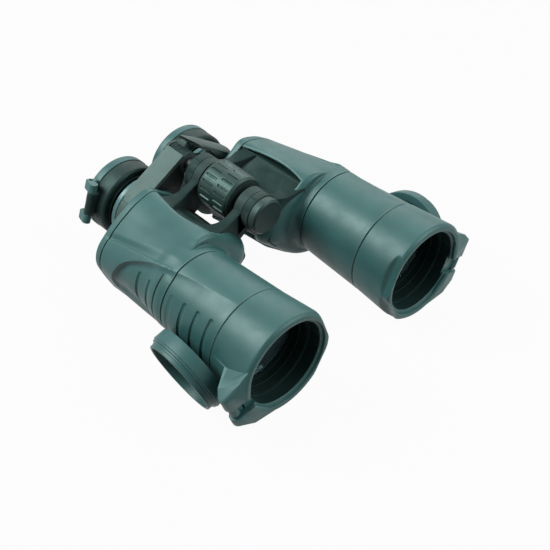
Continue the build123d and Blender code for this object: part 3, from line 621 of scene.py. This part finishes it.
def housing_armour():
    """Armour over the housing: collar, front wall, rounded shoulder and a skin that is open at the panel."""
    angle = around(wall_station)
    ones = np.ones_like(angle)
    height = reach(wall_station * ones, angle) - collar_radius
    low = 1 - smoothstep(*wall_fade, height)
    height = height * (1 - low)
    rim = collar_radius + height
    bend = np.clip(shoulder_share * height, 0.0, shoulder_round)
    fillet = np.clip(fillet_share * height, 0.0, wall_fillet)
    rows = [((collar_radius - seam_round) * ones, COLLAR_START * ones)]
    start = COLLAR_START + seam_round
    for share in np.linspace(0, 1, 8):
        rows.append((collar_radius * ones, start + (wall_station - fillet - start) * share))
    for turn in np.radians(np.linspace(15, 90, 6)):
        rows.append((collar_radius + fillet * (1 - cos(turn)), wall_station - fillet * (1 - sin(turn))))
    for share in np.linspace(0.15, 1, 6):
        foot = collar_radius + fillet
        rows.append((foot + (rim - bend - foot) * share, wall_station * ones))
    for turn in np.radians(np.linspace(12, 90, 8)):
        rows.append((rim - bend * (1 - sin(turn)), wall_station + bend * (1 - cos(turn))))
    shoulder_rows = len(rows) - 1
    radius, station = np.array(rows).transpose(1, 0, 2)
    angles = np.repeat(angle[None], len(rows), 0)
    shares = np.linspace(0, 1, side_rows)[1:, None]
    side_station = station[-1] + (SEAM - station[-1]) * shares
    side_angle = np.array([around(row.mean()) for row in side_station])
    blend = smoothstep(0, side_ease, side_station - wall_station)
    side_reach = reach(side_station, side_angle)
    eased = collar_radius + (side_reach - collar_radius) * blend
    side_radius = side_reach + (eased - side_reach) * low
    side_radius[-1] -= seam_round
    side_station[-2] = SEAM - seam_round
    radius = np.concatenate([radius, side_radius])
    station = np.concatenate([station, side_station])
    angles = np.concatenate([angles, side_angle])
    radius = radius - relief(station, angles)
    keep = np.ones((len(radius) - 1, len(angle)), bool)
    keep[shoulder_rows:, FINE - 1:] = False
    return grid(polar(radius, station, angles), keep=keep)


def rear_armour():
    """Armour behind the seam: a rounded rear edge and the rear wall up to the eyepiece."""
    angle = around(HOUSING_END)
    ones = np.ones_like(angle)
    full = HOUSING_END - rear_round
    rows = [(reach(REAR_START * ones, angle) - seam_round, REAR_START * ones)]
    for station in np.linspace(REAR_START + seam_round, full, 6):
        rows.append((reach(station * ones, angle), station * ones))
    edge = reach(full * ones, angle)
    for turn in np.radians(np.linspace(10, 90, 8)):
        rows.append((edge - rear_round * (1 - cos(turn)), (full + rear_round * sin(turn)) * ones))
    radius, station = np.array(rows).transpose(1, 0, 2)
    angles = np.repeat(angle[None], len(rows), 0)
    radius = radius - relief(station, angles)
    points = polar(radius, station, angles)
    hole = on_axis(EYEPIECE, HOUSING_END)
    spoke = points[-1] - hole
    rim = hole + spoke / np.linalg.norm(spoke, axis=1)[:, None] * (SLEEVE_RADIUS + sleeve_gap)
    wall = [points[-1] + (rim - points[-1]) * share for share in rear_wall_rings]
    points = np.concatenate([points, np.array(wall)])
    keep = np.ones((len(points) - 1, len(angle)), bool)
    keep[:, FINE - 1 + PANEL // 2:] = False
    return grid(points, keep=keep)


def tube_armour():
    """Armour sleeve of the barrel, with the front part of the grip."""
    angle = np.linspace(-180, 180, tube_columns, endpoint=False)
    middle = np.linspace(TUBE_START + seam_round, TUBE_END - seam_round, tube_rows)
    station = np.concatenate([[TUBE_START] * 2, middle, [TUBE_END] * 2])
    share = (station - TUBE_START) / (TUBE_END - TUBE_START)
    radius = hood_rear_radius + (collar_radius - hood_rear_radius) * share
    radius[[0, -1]] = BARREL_RADIUS + barrel_gap
    radius[[1, -2]] -= seam_round
    angles, places = np.meshgrid(angle, station)
    sunk = relief(places, angles)
    sunk[[0, -1]] = 0
    return grid(polar(radius[:, None] - sunk, places, angles))


for skin in (pair("armour_prism_skin", housing_armour(), "armour", HALVES, ("armour_prism",))
             + pair("armour_rear_skin", rear_armour(), "armour", HALVES, ("armour_rear",))):
    thick = skin.modifiers.new("thickness", "SOLIDIFY")
    thick.thickness = armour_thickness * MM
    thick.offset = -1.0


def sunk_core(half, side):
    """CAD housing with its hidden outer side pulled in, which makes room for the armour's hollows."""
    verts, faces = shape_of(frame["nodes"][f"{half}_prism_housing"].data)
    x, z = verts[:, 0] * side - OBJECTIVE[0], verts[:, 2] - OBJECTIVE[1]
    angle, radius = np.degrees(np.arctan2(z, x)), np.hypot(x, z)
    hidden = smoothstep(*core_hidden_from, angle) * (1 - smoothstep(*core_hidden_to, angle))
    scale = 1 - core_relief * hidden / radius.clip(core_least_radius)
    front = verts[:, 1] < FRONT + wall_station + core_setback
    back = verts[:, 1] + core_setback * hidden * front
    return np.stack([side * (OBJECTIVE[0] + x * scale), back, OBJECTIVE[1] + z * scale], -1), faces


for half, side in SIDES:
    core = piece(f"{half}_prism_housing_skin", sunk_core(half, side), "housing", f"{half}_half",
                 [f"{half}_prism_housing"])
    soften(core, width=0.6)
pair("armour_tube_skin", tube_armour(), "armour", HALVES, ("armour_tube",))

# Webs of the hinge lugs: they dip between the barrel of the hinge and the panel, and widen towards the panel.
# Each has two stations at the hinge, and how much wider it gets to the front and to the rear.
hinge_webs = {
    "left": ((89, 96.6, 4, 8), (138.05, 144, 8, 2)),
    "right": ((92.1, 98.6, 4, 8), (131.7, 137.6, 8, 4)),
}
web_top = [(0, 10.5), (12.5, 3), (25, -1.9), (38.5, 0.8)]
web_inner = 8.0
web_outer = 38.0
web_depth = 16.0
web_edge = 0.9
web_flare = (14.0, 46.0)
web_flare_power = 1.5


def web(start, end, front_flare, rear_flare):
    """Web between two stations at the hinge, which gets wider to the front and to the rear."""
    across = np.linspace(web_inner, web_outer, 40)
    top = HINGE[1] + curve(web_top, across)
    flare = smoothstep(*web_flare, across) ** web_flare_power
    first, last = FRONT + start - front_flare * flare, FRONT + end + rear_flare * flare
    bend = 0.3 * web_edge
    section = [(first, top - web_depth), (first, top - web_edge), (first + bend, top - bend),
               (first + web_edge, top), (last - web_edge, top), (last - bend, top - bend),
               (last, top - web_edge), (last, top - web_depth)]
    points = np.array([np.stack([across, y, z], -1) for y, z in section]).transpose(1, 0, 2)
    ends = [np.repeat(row.mean(0)[None, None], len(section), 1) for row in (points[0], points[-1])]
    return grid(np.concatenate([ends[0], points, ends[1]]))


for half, side in SIDES:
    webs = joined(*[web(*places) for places in hinge_webs[half]])
    piece(f"{half}_webs", webs, "housing", f"{half}_half", [], side)

# Hood: a ring with two flats on its inner side and two ears for the lens cap's pin
cap_joint = joint("left_objective_cap_hinge")
cap_hinge = np.array(cap_joint["pos_m"]) / MM
cap_fold = radians(cap_joint["range_deg"][1])
cap_up = -np.array(cap_joint["axis"], float)
cap_out = np.array((cap_up[2], 0.0, -cap_up[0]))
cap_reach = float(np.dot(cap_hinge - on_axis(OBJECTIVE), cap_out))
cap_hinge_station = cap_hinge[1] - FRONT
arm_half = 5.0
hood_bore = 27.9
hood_bore_depth = 11.0
hood_face_radius = 32.6
hood_side_start = 1.9
hood_side_rows = np.arange(4, 16, 0.6)
hood_flat_reach = 31.0
hood_flat_angles = (158.0, 208.0)
hood_flat_length = 5.0
hood_flat_least_cosine = 0.2

# Slot for the cap's arm, shallow across the ring and deep at the hinge
slot_depth = 4.2
slot_inner = 5.0
slot_floor = 33.6
slot_end = 22.0
slot_ahead = -5.0
slot_outside = 60.0

# Ears: how far they reach along the pin, and the corners at which they rise from the ring. A corner has its
# distance from the objective axis towards the hinge, its distance along the pin and its station.
ear_gap = 5.4
ear_radius = 4.3
ear_edge = 0.7
ear_root = ((29.6, 1), (31, 16.4))
upper_ear_end = 18.0
upper_ear_skirt = [(21.5, 24.4, 1.4), (32, 22.6, 1.4), (38.6, 18.6, 1.4), (39.2, 18.2, 11.6),
                   (27.2, 17.4, 18.8)]
lower_ear_end = 13.0
lower_ear_skirt = [(20, 26.2, 1.2), (20, 26.2, 16), (33.8, 19.6, 1.2), (33, 19.6, 12.4)]


def beside_hinge(out, up, station):
    """Point from its distance towards the cap's hinge, its distance along the pin and its station."""
    return on_axis(OBJECTIVE, station) + out * cap_out + up * cap_up


def hood_ring():
    """Ring of the hood with its bore, a step in the front face and flats."""
    front = [(hood_bore, 2.8, 0.4), (hood_bore + 0.4, 2.3, 0.3), (hood_bore + 1.5, 2.2, 0.3),
             (hood_bore + 1.9, 0.3, 0.3), (hood_face_radius, 0.0, 1.2),
             (hood_front_radius, hood_side_start, 1.8)]
    ends, radii = (hood_side_start, HOOD_END), (hood_front_radius, hood_rear_radius)
    side = [(np.interp(station, ends, radii), station, 0) for station in hood_side_rows]
    back = [(hood_rear_radius, HOOD_END - 0.4, 0.3), (hood_rear_radius - 0.5, HOOD_END, 0.3),
            (BARREL_RADIUS, HOOD_END, 0), (BARREL_RADIUS, hood_bore_depth, 0), (hood_bore, hood_bore_depth, 0)]
    corners = np.array(front + side + back)
    profile = rounded(corners[:, :2], corners[:, 2], closed=True)
    points, faces = lathe(np.concatenate([profile, profile[:1]]), on_axis(OBJECTIVE), segments=180)
    local = points - on_axis(OBJECTIVE)
    angle = np.degrees(np.arctan2(local[:, 2], local[:, 0]))
    radius = np.hypot(local[:, 0], local[:, 2])
    limit = radius.copy()
    for flat in hood_flat_angles:
        away = np.radians((angle - flat + 180) % 360 - 180)
        plane = hood_flat_reach / np.maximum(np.cos(away), hood_flat_least_cosine)
        limit = np.minimum(limit, plane + (local[:, 1] - hood_flat_length).clip(0))
    local[:, [0, 2]] *= (limit / radius)[:, None]
    return local + on_axis(OBJECTIVE), faces


def hood_ear(sign, end, skirt):
    """Ear that rises from the ring, along a sloping facet, to a rounded end round the pin."""
    corners = [*skirt, *((out, ear_gap + ear_edge, station) for out, station in ear_root)]
    radius = ear_radius - ear_edge
    for turn in np.radians(np.arange(0, 360, 15)):
        for up in (ear_gap + ear_edge, end - ear_edge):
            corners.append((cap_reach + radius * cos(turn), up, cap_hinge_station + radius * sin(turn)))
    return hull([beside_hinge(out, sign * up, station) for out, up, station in corners], ear_edge)


def arm_slot(inner, end):
    """Block that clears the way for the cap's arm, outwards from a distance and back to a station."""
    return hull([beside_hinge(out, up, station) for out in (inner, slot_outside) for up in (-ear_gap, ear_gap)
                 for station in (slot_ahead, end)])


ears = [hood_ear(1, upper_ear_end, upper_ear_skirt), hood_ear(-1, lower_ear_end, lower_ear_skirt)]
slots = [arm_slot(slot_inner, slot_depth), arm_slot(slot_floor, slot_end)]
pair("front_hood_skin", carved(hood_ring(), ears, slots), "armour", HALVES, ("front_hood",))

# Near-black sheet over the hood's bore that paints the shade inside it, set back where the arm of the closed cap
# passes
shade_liner_radius = hood_bore - 0.15
shade_liner_inner = BARREL_RADIUS - 2.2
shade_liner_end = hood_bore_depth + 0.1
shade_liner_margin = 1.5
shade_liner_setback = 0.2
shade_liner, shade_liner_faces = lathe([(shade_liner_inner, shade_liner_end), (shade_liner_radius, shade_liner_end), (shade_liner_radius, 3.1),
                            (hood_bore + 0.02, 2.9)], on_axis(OBJECTIVE))
from_axis = shade_liner - on_axis(OBJECTIVE)
at_slot = (from_axis @ cap_out > 0) & (np.abs(from_axis @ cap_up) < ear_gap + shade_liner_margin)
shade_liner[at_slot, 1] = np.maximum(shade_liner[at_slot, 1], FRONT + slot_depth + shade_liner_setback)
pair("bore_shade_liner", (shade_liner, shade_liner_faces), "housing", HALVES, ())

# Thin ring inside the barrel in front of the lens
ring_start = 16.6
ring_foot = radius_of("left_objective_retainer") + 0.1
ring_top = radius_of("left_objective_retainer") - 0.4
bore_ring = turned([(ring_foot, ring_start + 1.1, 0), (ring_top, ring_start + 0.9, 0.2),
                    (ring_top, ring_start + 0.2, 0.2), (ring_foot, ring_start, 0)], on_axis(OBJECTIVE))
pair("bore_rings", bore_ring, "barrel", HALVES, ())

# Objective cap: a stepped cup with a dished face, drawn closed in the hood and then folded back
cap_radius = 27.1
cap_lip_radius = 24.8
cap_face = 0.3
cap_dish = cap_face + 1.2
cap_floor = 2.6
cap_wall_end = 8.5
cap_step = 9.9
cap_rim = 13.8
cap_arm_thickness = 3.4
cap_knuckle_radius = 3.3


def folded(shape):
    """The shape turned about the cap's hinge from closed to folded back."""
    turn = np.array(Matrix.Rotation(cap_fold, 3, Vector(cap_up)))
    return (shape[0] - cap_hinge) @ turn.T + cap_hinge, shape[1]


cup = turned([
    (0, cap_dish, 0), (19.8, cap_dish, 0), (20.6, cap_dish, 0.4), (21.6, cap_face + 0.2, 0.4),
    (cap_radius - 0.3, cap_face, 0.8), (cap_radius, cap_wall_end, 0.2),
    (cap_radius - 0.7, cap_wall_end + 0.2, 0.2), (cap_radius - 0.7, cap_step, 0.2),
    (cap_lip_radius + 0.3, cap_step + 0.2, 0.2),
    (cap_lip_radius + 0.3, cap_step + 1.5, 0.2), (cap_lip_radius, cap_step + 1.7, 0.2),
    (cap_lip_radius, cap_rim, 0.5), (cap_lip_radius - 1.7, cap_rim, 0.5), (cap_lip_radius - 1.9, 3.4, 1.2),
    (cap_lip_radius - 3.4, cap_floor, 0.8), (cap_lip_radius - 4.4, cap_floor, 0), (0, cap_floor, 0),
], on_axis(OBJECTIVE))
hinge_turn = Matrix((cap_out, (0, 1, 0), cap_up)).transposed().to_4x4()
cap_arm = block((cap_radius - 1.6, cap_face, -arm_half),
                (cap_reach + 1.0, cap_face + cap_arm_thickness, arm_half),
                edge=0.7, place=Matrix.Translation(on_axis(OBJECTIVE)) @ hinge_turn)
knuckle = rod(cap_knuckle_radius, -arm_half, arm_half, edge=0.6, origin=cap_hinge, along=cap_up, segments=48)
pair("objective_cap_skin", folded(joined(cup, cap_arm, knuckle)), "cap",
     ("left_objective_cap", "right_objective_cap"), ("objective_cap",))

# Eyepiece: eyecup and flip cap. They are drawn with the hinge straight outwards and then turned to its place.
cup_start, cup_end = stations("left_eyecup")
eyecup_radius = 25.3
eyecup_chamfer = 1.4
seat_radius = 21.0
seat_end = cup_start + 3.4
neck_radius = 22.6
neck_station = 190.3
eye_bore = 17.0
knuckle_radius = 2.8
knuckle_half = 7.5
flip_end = stations("left_eyepiece_cap")[1]
flip_radius = 25.6
flip_inner_radius = 23.1
flip_skirt = 190.7
flip_chamfer = 1.2
flip_dish = flip_end - 0.5
flip_floor = flip_end - 2.2
flip_ear_heights = (7.9, 14.1)
flip_ear_inner = 22.0
flip_ear_end = flip_end - 2.3
flip_ear_width = (-2.6, 0.8)


def eye_hinge(half, side):
    """Reach of the flip cap's hinge from the eyepiece axis, its station, and how far it is turned down."""
    place = np.array(joint(f"{half}_eyepiece_cap_hinge")["pos_m"]) / MM
    out, down = side * place[0] - EYEPIECE[0], EYEPIECE[1] - place[2]
    return np.hypot(out, down), place[1] - FRONT, np.arctan2(down, out)


eye_reach, eye_station, _ = eye_hinge("left", 1)
pin_place = on_axis((EYEPIECE[0] + eye_reach, EYEPIECE[1]), eye_station)


def eye_pieces(name, shape, slot, bodies, node):
    """The piece for both eyepieces, each turned about its own eyepiece axis."""
    for (half, side), body in zip(SIDES, bodies):
        turn = np.array(Matrix.Rotation(eye_hinge(half, side)[2], 3, "Y"))
        placed = (shape[0] - on_axis(EYEPIECE)) @ turn.T + on_axis(EYEPIECE), shape[1]
        piece(f"{half}_{name}", placed, slot, body, [f"{half}_{node}"], side)


eyecup = turned([
    (seat_radius, cup_start, 0), (eyecup_radius - eyecup_chamfer, cup_start, 0.6),
    (eyecup_radius, cup_start + eyecup_chamfer, 0.8), (eyecup_radius, neck_station, 0.5),
    (neck_radius, neck_station, 0.2), (neck_radius, cup_end, 0.8), (eye_bore + 1.5, cup_end, 0.8),
    (eye_bore, cup_end - 3.0, 1.5), (eye_bore, seat_end, 0), (seat_radius, seat_end, 0),
    (seat_radius, cup_start, 0),
], on_axis(EYEPIECE))
eyecup_lug = block((EYEPIECE[0] + eyecup_radius - 1.5, pin_place[1] - 2.3, EYEPIECE[1] - knuckle_half),
                   (pin_place[0], FRONT + neck_station, EYEPIECE[1] + knuckle_half), edge=0.5)
eyecup_knuckle = rod(knuckle_radius, -knuckle_half, knuckle_half, edge=0.7, origin=pin_place, along=(0, 0, 1),
                     segments=40)
eye_pieces("eyecup_skin", joined(eyecup, eyecup_lug, eyecup_knuckle), "eyecup",
           ("left_carriage", "right_ocular"), "eyecup")

flip_shapes = [turned([
    (flip_inner_radius, flip_skirt, 0), (flip_radius, flip_skirt, 0.4),
    (flip_radius, flip_end - flip_chamfer, 0.7), (flip_radius - flip_chamfer, flip_end, 0.7),
    (20.5, flip_end, 0.3), (19.8, flip_dish, 0.3), (19.0, flip_dish, 0), (0, flip_dish, 0), (0, flip_floor, 0),
    (flip_inner_radius, flip_floor, 0), (flip_inner_radius, flip_skirt, 0),
], on_axis(EYEPIECE))]
for sign in (1, -1):
    low, high = sorted(EYEPIECE[1] + sign * height for height in flip_ear_heights)
    flip_shapes.append(block((EYEPIECE[0] + flip_ear_inner, FRONT + flip_skirt + 0.3, low),
                             (pin_place[0] + 0.5, FRONT + flip_ear_end, high), edge=0.9))
    corners = [(pin_place[0] + x, FRONT + flip_ear_end, z) for x in flip_ear_width for z in (low, high)]
    for turn in np.radians(np.arange(0, 360, 20)):
        x, y = pin_place[0] + knuckle_radius * cos(turn), pin_place[1] + knuckle_radius * sin(turn)
        corners += [(x, y, low), (x, y, high)]
    flip_shapes.append(hull(corners))
eye_pieces("eyepiece_cap_skin", joined(*flip_shapes), "cap", ("left_eyepiece_cap", "right_eyepiece_cap"),
           "eyepiece_cap")

# Focus wheel's grip: two rows of short slots, half a step apart
wheel_start, wheel_end = stations("focus_grip")
wheel_radius = radius_of("focus_grip")
wheel_wall = 2.8
wheel_edge_drop = 1.2
wheel_edge_length = 1.6
wheel_rows = 64
slot_count = 20
slot_columns = 18
slot_length = 9.4
slot_width = 1.5
slot_sink = 0.8
row_centres = (0.27, 0.73)


def knurled():
    """Grip ring with its slots sunk into the surface."""
    turn = np.linspace(0, 360, slot_count * slot_columns, endpoint=False)
    along = np.linspace(wheel_start, wheel_end, wheel_rows)
    edge = np.minimum(along - wheel_start, wheel_end - along)
    outer = wheel_radius - wheel_edge_drop * (1 - smoothstep(0, wheel_edge_length, edge))
    angle, station = np.meshgrid(turn, along)
    pitch = 360 / slot_count
    sunk = np.zeros_like(angle)
    for row, centre in enumerate(row_centres):
        middle = wheel_start + (wheel_end - wheel_start) * centre
        across = ((angle / pitch + 0.5 * row) % 1 - 0.5) * radians(pitch) * wheel_radius
        past = (np.abs(station - middle) - slot_length / 2 + slot_width / 2).clip(0)
        away = np.hypot(across, past) / (slot_width / 2)
        sunk = np.maximum(sunk, slot_sink * (1 - smoothstep(*groove_wall, away)))
    core = np.full_like(turn, wheel_radius - wheel_wall)
    radius = np.vstack([core, outer[:, None] - sunk, core])
    station = np.vstack([station[:1], station, station[-1:]])
    turn = np.radians(turn)[None]
    across, up = radius * np.cos(turn), radius * np.sin(turn)
    return grid(np.stack([HINGE[0] + across, FRONT + station, HINGE[1] + up], -1))


piece("focus_grip_skin", knurled(), "grip", "focus_wheel", ["focus_grip"])

# Bridge: the right arm keeps its CAD shape, the left arm is a steeper blade with a domed top. Both have a
# near-black web down to the clamp of the eyepiece, whose colour paints the shade under the arms, and ribbed
# collars on the spindle.
# Corners are places (x, z).
arm_start, arm_end = stations("right_bridge_arm")
arm_middle = (arm_start + arm_end) / 2
arm_gap = 0.2
clamp_radius = extent("left_bridge_arm")[1][0] - EYEPIECE[0]
clamp_edge = 0.6
collar_outer = 7.25
collar_chamfer = 0.6
collar_groove = 0.35
collar_ribs = 4
blade_top = [(4, 79.2), (16, 71.9), (28, 63.4), (41, 54)]
blade_hub_edge = [(154.5, 10.9), (157.5, 8), (161, 5), (165, 4), (169.5, 4)]
blade_tip_edge = [(154.5, 38), (161, 40.6), (169.5, 40.6)]
blade_thickness = 2.6
blade_dome = 1.1
blade_margin = 1.5
blade_edge = 0.5
neck_corners = [(2, HINGE[1] + 5), (6.4, HINGE[1] + 1), (8, HINGE[1] + 7), (5.4, 76)]
foot_corners = [(20, 66), (36, 54.6)]
shade_web_corners = [(3.6, 71), (28, 58.2), (4, 56)]
shade_web_width = 3.0


def slab(corners, first, last):
    """Convex plate from corners (x, z) between two stations, with slightly rounded edges."""
    ends = (first + blade_edge, last - blade_edge)
    return hull([(x, FRONT + station, z) for x, z in corners for station in ends], blade_edge)


def blade():
    """Left arm's top: its section runs round the edges, and its length follows the curved hub and tip edges."""
    rise = [(arm_start, -blade_thickness), (arm_start, -blade_edge), (arm_start + blade_edge, 0.0)]
    across = np.linspace(arm_start + blade_margin, arm_end - blade_margin, 9)
    rise += [(y, blade_dome * (1 - ((y - arm_middle) / (arm_end - arm_middle)) ** 2)) for y in across]
    rise += [(arm_end - blade_edge, 0.0), (arm_end, -blade_edge), (arm_end, -blade_thickness)]
    station, height = np.array(rise).T
    first, last = curve(blade_hub_edge, station), curve(blade_tip_edge, station)
    rows = []
    for share in np.linspace(0, 1, 24):
        x = first + (last - first) * share
        rows.append(np.stack([x, FRONT + station, curve(blade_top, x) + height], -1))
    ends = [np.repeat(row.mean(0)[None], len(station), 0) for row in (rows[0], rows[-1])]
    return grid(np.array([ends[0], *rows, ends[1]]))


def clamp_arc(low, high, radius):
    """Places (x, z) on the clamp between two angles about the eyepiece axis."""
    turns = np.radians(np.linspace(low, high, 9))
    return [(EYEPIECE[0] + radius * cos(t), EYEPIECE[1] + radius * sin(t)) for t in turns]


def collar(first, last):
    """Ribbed collar on the spindle."""
    pitch = (last - first) / collar_ribs
    sunk = collar_outer - collar_groove
    profile = [(collar_outer - collar_chamfer, first)]
    for start in first + pitch * np.arange(collar_ribs):
        profile += [(collar_outer, start + 0.15), (collar_outer, start + pitch - 0.4),
                    (sunk, start + pitch - 0.25), (sunk, start + pitch - 0.1)]
    return lathe(profile + [(collar_outer - collar_chamfer, last)], on_axis(HINGE), segments=64)


clamp = turned([
    (SLEEVE_RADIUS, arm_start, 0), (clamp_radius, arm_start, clamp_edge), (clamp_radius, arm_end, clamp_edge),
    (SLEEVE_RADIUS, arm_end, 0), (SLEEVE_RADIUS, arm_start, 0)], on_axis(EYEPIECE))
neck = slab(neck_corners, arm_middle + arm_gap, arm_end)
foot = slab(foot_corners + clamp_arc(55.0, 85.0, clamp_radius - 1.0), arm_start, arm_end)
left_arm = joined(blade(), neck, foot, clamp)
piece("left_bridge_arm_skin", left_arm, "bridge", "left_carriage", ["left_bridge_arm"])
# Web under the arms: partly a real web, its near-black colour a painted shade for the space beneath the arms
shade_web = slab(shade_web_corners + clamp_arc(70.0, 150.0, clamp_radius - 0.8), arm_start + 0.1,
                arm_start + shade_web_width)
pair("bridge_shade_web", shade_web, "barrel", CARRIAGES, ())
piece("left_bridge_collar", collar(arm_middle + arm_gap, arm_end), "housing", "left_carriage", [])
piece("right_bridge_collar", collar(arm_start, arm_middle - arm_gap), "housing", "right_carriage", [])

# Rounded edges on the CAD nodes that keep their shape
soften(frame["nodes"]["right_bridge_arm"], width=0.6)
for name in ("tripod_cap", "bridge_cap", "focus_wheel"):
    soften(frame["nodes"][name], width=0.4)

# Floor, light and camera
photo_pixels = 550
focal_pixels = 1221.0
sensor = 36.0
camera_target = np.array((-13.54, -39.89, 42.47))
camera_azimuth = radians(-46.27)
camera_elevation = radians(42.0)
camera_roll = radians(3.37)
camera_distance = 746.0
white = (1.0, 1.0, 1.0, 1.0)
floor_greys = ((0.19,) * 3, (0.21,) * 3)
floor_whiteness = 0.96
floor_corners = ((-3, -3), (3, -3), (3, 3), (-3, 3))
world_strength = 0.18

# Square lamps that point at the object: place and size in metres, power in watts
LAMPS = {
    "key": ((-0.58, 0.57, 0.91), 0.62, 24.0),
    "rim": ((0.80, 0.66, 0.76), 1.0, 7.0),
    "fill": ((0.55, -0.75, 0.66), 0.8, 13.0),
}


def seen_directly(tree):
    """1 for rays from the camera, from gloss or through glass, and 0 for light that the scene scatters."""
    path = add(tree, "LightPath", {})
    total = path.outputs["Is Camera Ray"]
    for name in ("Is Glossy Ray", "Is Transmission Ray"):
        total = add(tree, "Math", {0: total, 1: path.outputs[name]}, operation="MAXIMUM").outputs[0]
    return total


def floor_material():
    """Pale floor that looks white and still takes the object's shadow."""
    made, tree, shader = material("floor")
    tree.nodes.remove(shader)
    paper = add(tree, "BsdfDiffuse", {"Color": ramp(tree, noise(tree, 3.0), NOISE_RANGE, floor_greys)})
    glow = add(tree, "Emission", {"Color": white, "Strength": 1.0})
    share = add(tree, "Math", {0: seen_directly(tree), 1: floor_whiteness}, operation="MULTIPLY")
    mix = add(tree, "MixShader", {0: share.outputs[0], 1: paper.outputs[0], 2: glow.outputs[0]})
    fill(tree, tree.nodes["Material Output"], {"Surface": mix.outputs[0]})
    return made


floor_mesh = bpy.data.meshes.new("floor")
floor_mesh.from_pydata([(x, y, 0.0) for x, y in floor_corners], [], [(0, 1, 2, 3)])
floor_mesh.materials.append(floor_material())
linked("floor", floor_mesh)


def world_light(strength):
    """Soft light from all round, white where it is seen directly."""
    world = bpy.data.worlds.new("studio")
    world.use_nodes = True
    tree = world.node_tree
    mix = add(tree, "Mix", {0: seen_directly(tree), 2: strength, 3: 1.0}, data_type="FLOAT")
    fill(tree, tree.nodes["Background"], {"Color": white, "Strength": mix.outputs[0]})
    bpy.context.scene.world = world


world_light(world_strength)
for name, (place, size, power) in LAMPS.items():
    lamp = bpy.data.lights.new(name, "AREA")
    lamp.size = size
    lamp.energy = power
    softbox = linked(name, lamp)
    softbox.location = place
    beam = Vector(camera_target * MM) - Vector(place)
    softbox.rotation_euler = beam.to_track_quat("-Z", "Y").to_euler()

flat = cos(camera_elevation)
back = Vector((sin(camera_azimuth) * flat, -cos(camera_azimuth) * flat, sin(camera_elevation)))
level = Vector((0, 0, 1)).cross(back).normalized()
upward = back.cross(level)
right = level * cos(camera_roll) + upward * sin(camera_roll)
top = upward * cos(camera_roll) - level * sin(camera_roll)
lens = bpy.data.cameras.new("camera")
lens.sensor_width = sensor
lens.lens = focal_pixels * sensor / photo_pixels
lens.clip_start = 0.01
camera = linked("camera", lens)
camera_place = Vector(camera_target * MM) + back * camera_distance * MM
camera.matrix_world = Matrix.Translation(camera_place) @ Matrix((right, top, back)).transposed().to_4x4()
bpy.context.scene.camera = camera
bpy.context.scene.view_settings.view_transform = "Standard"
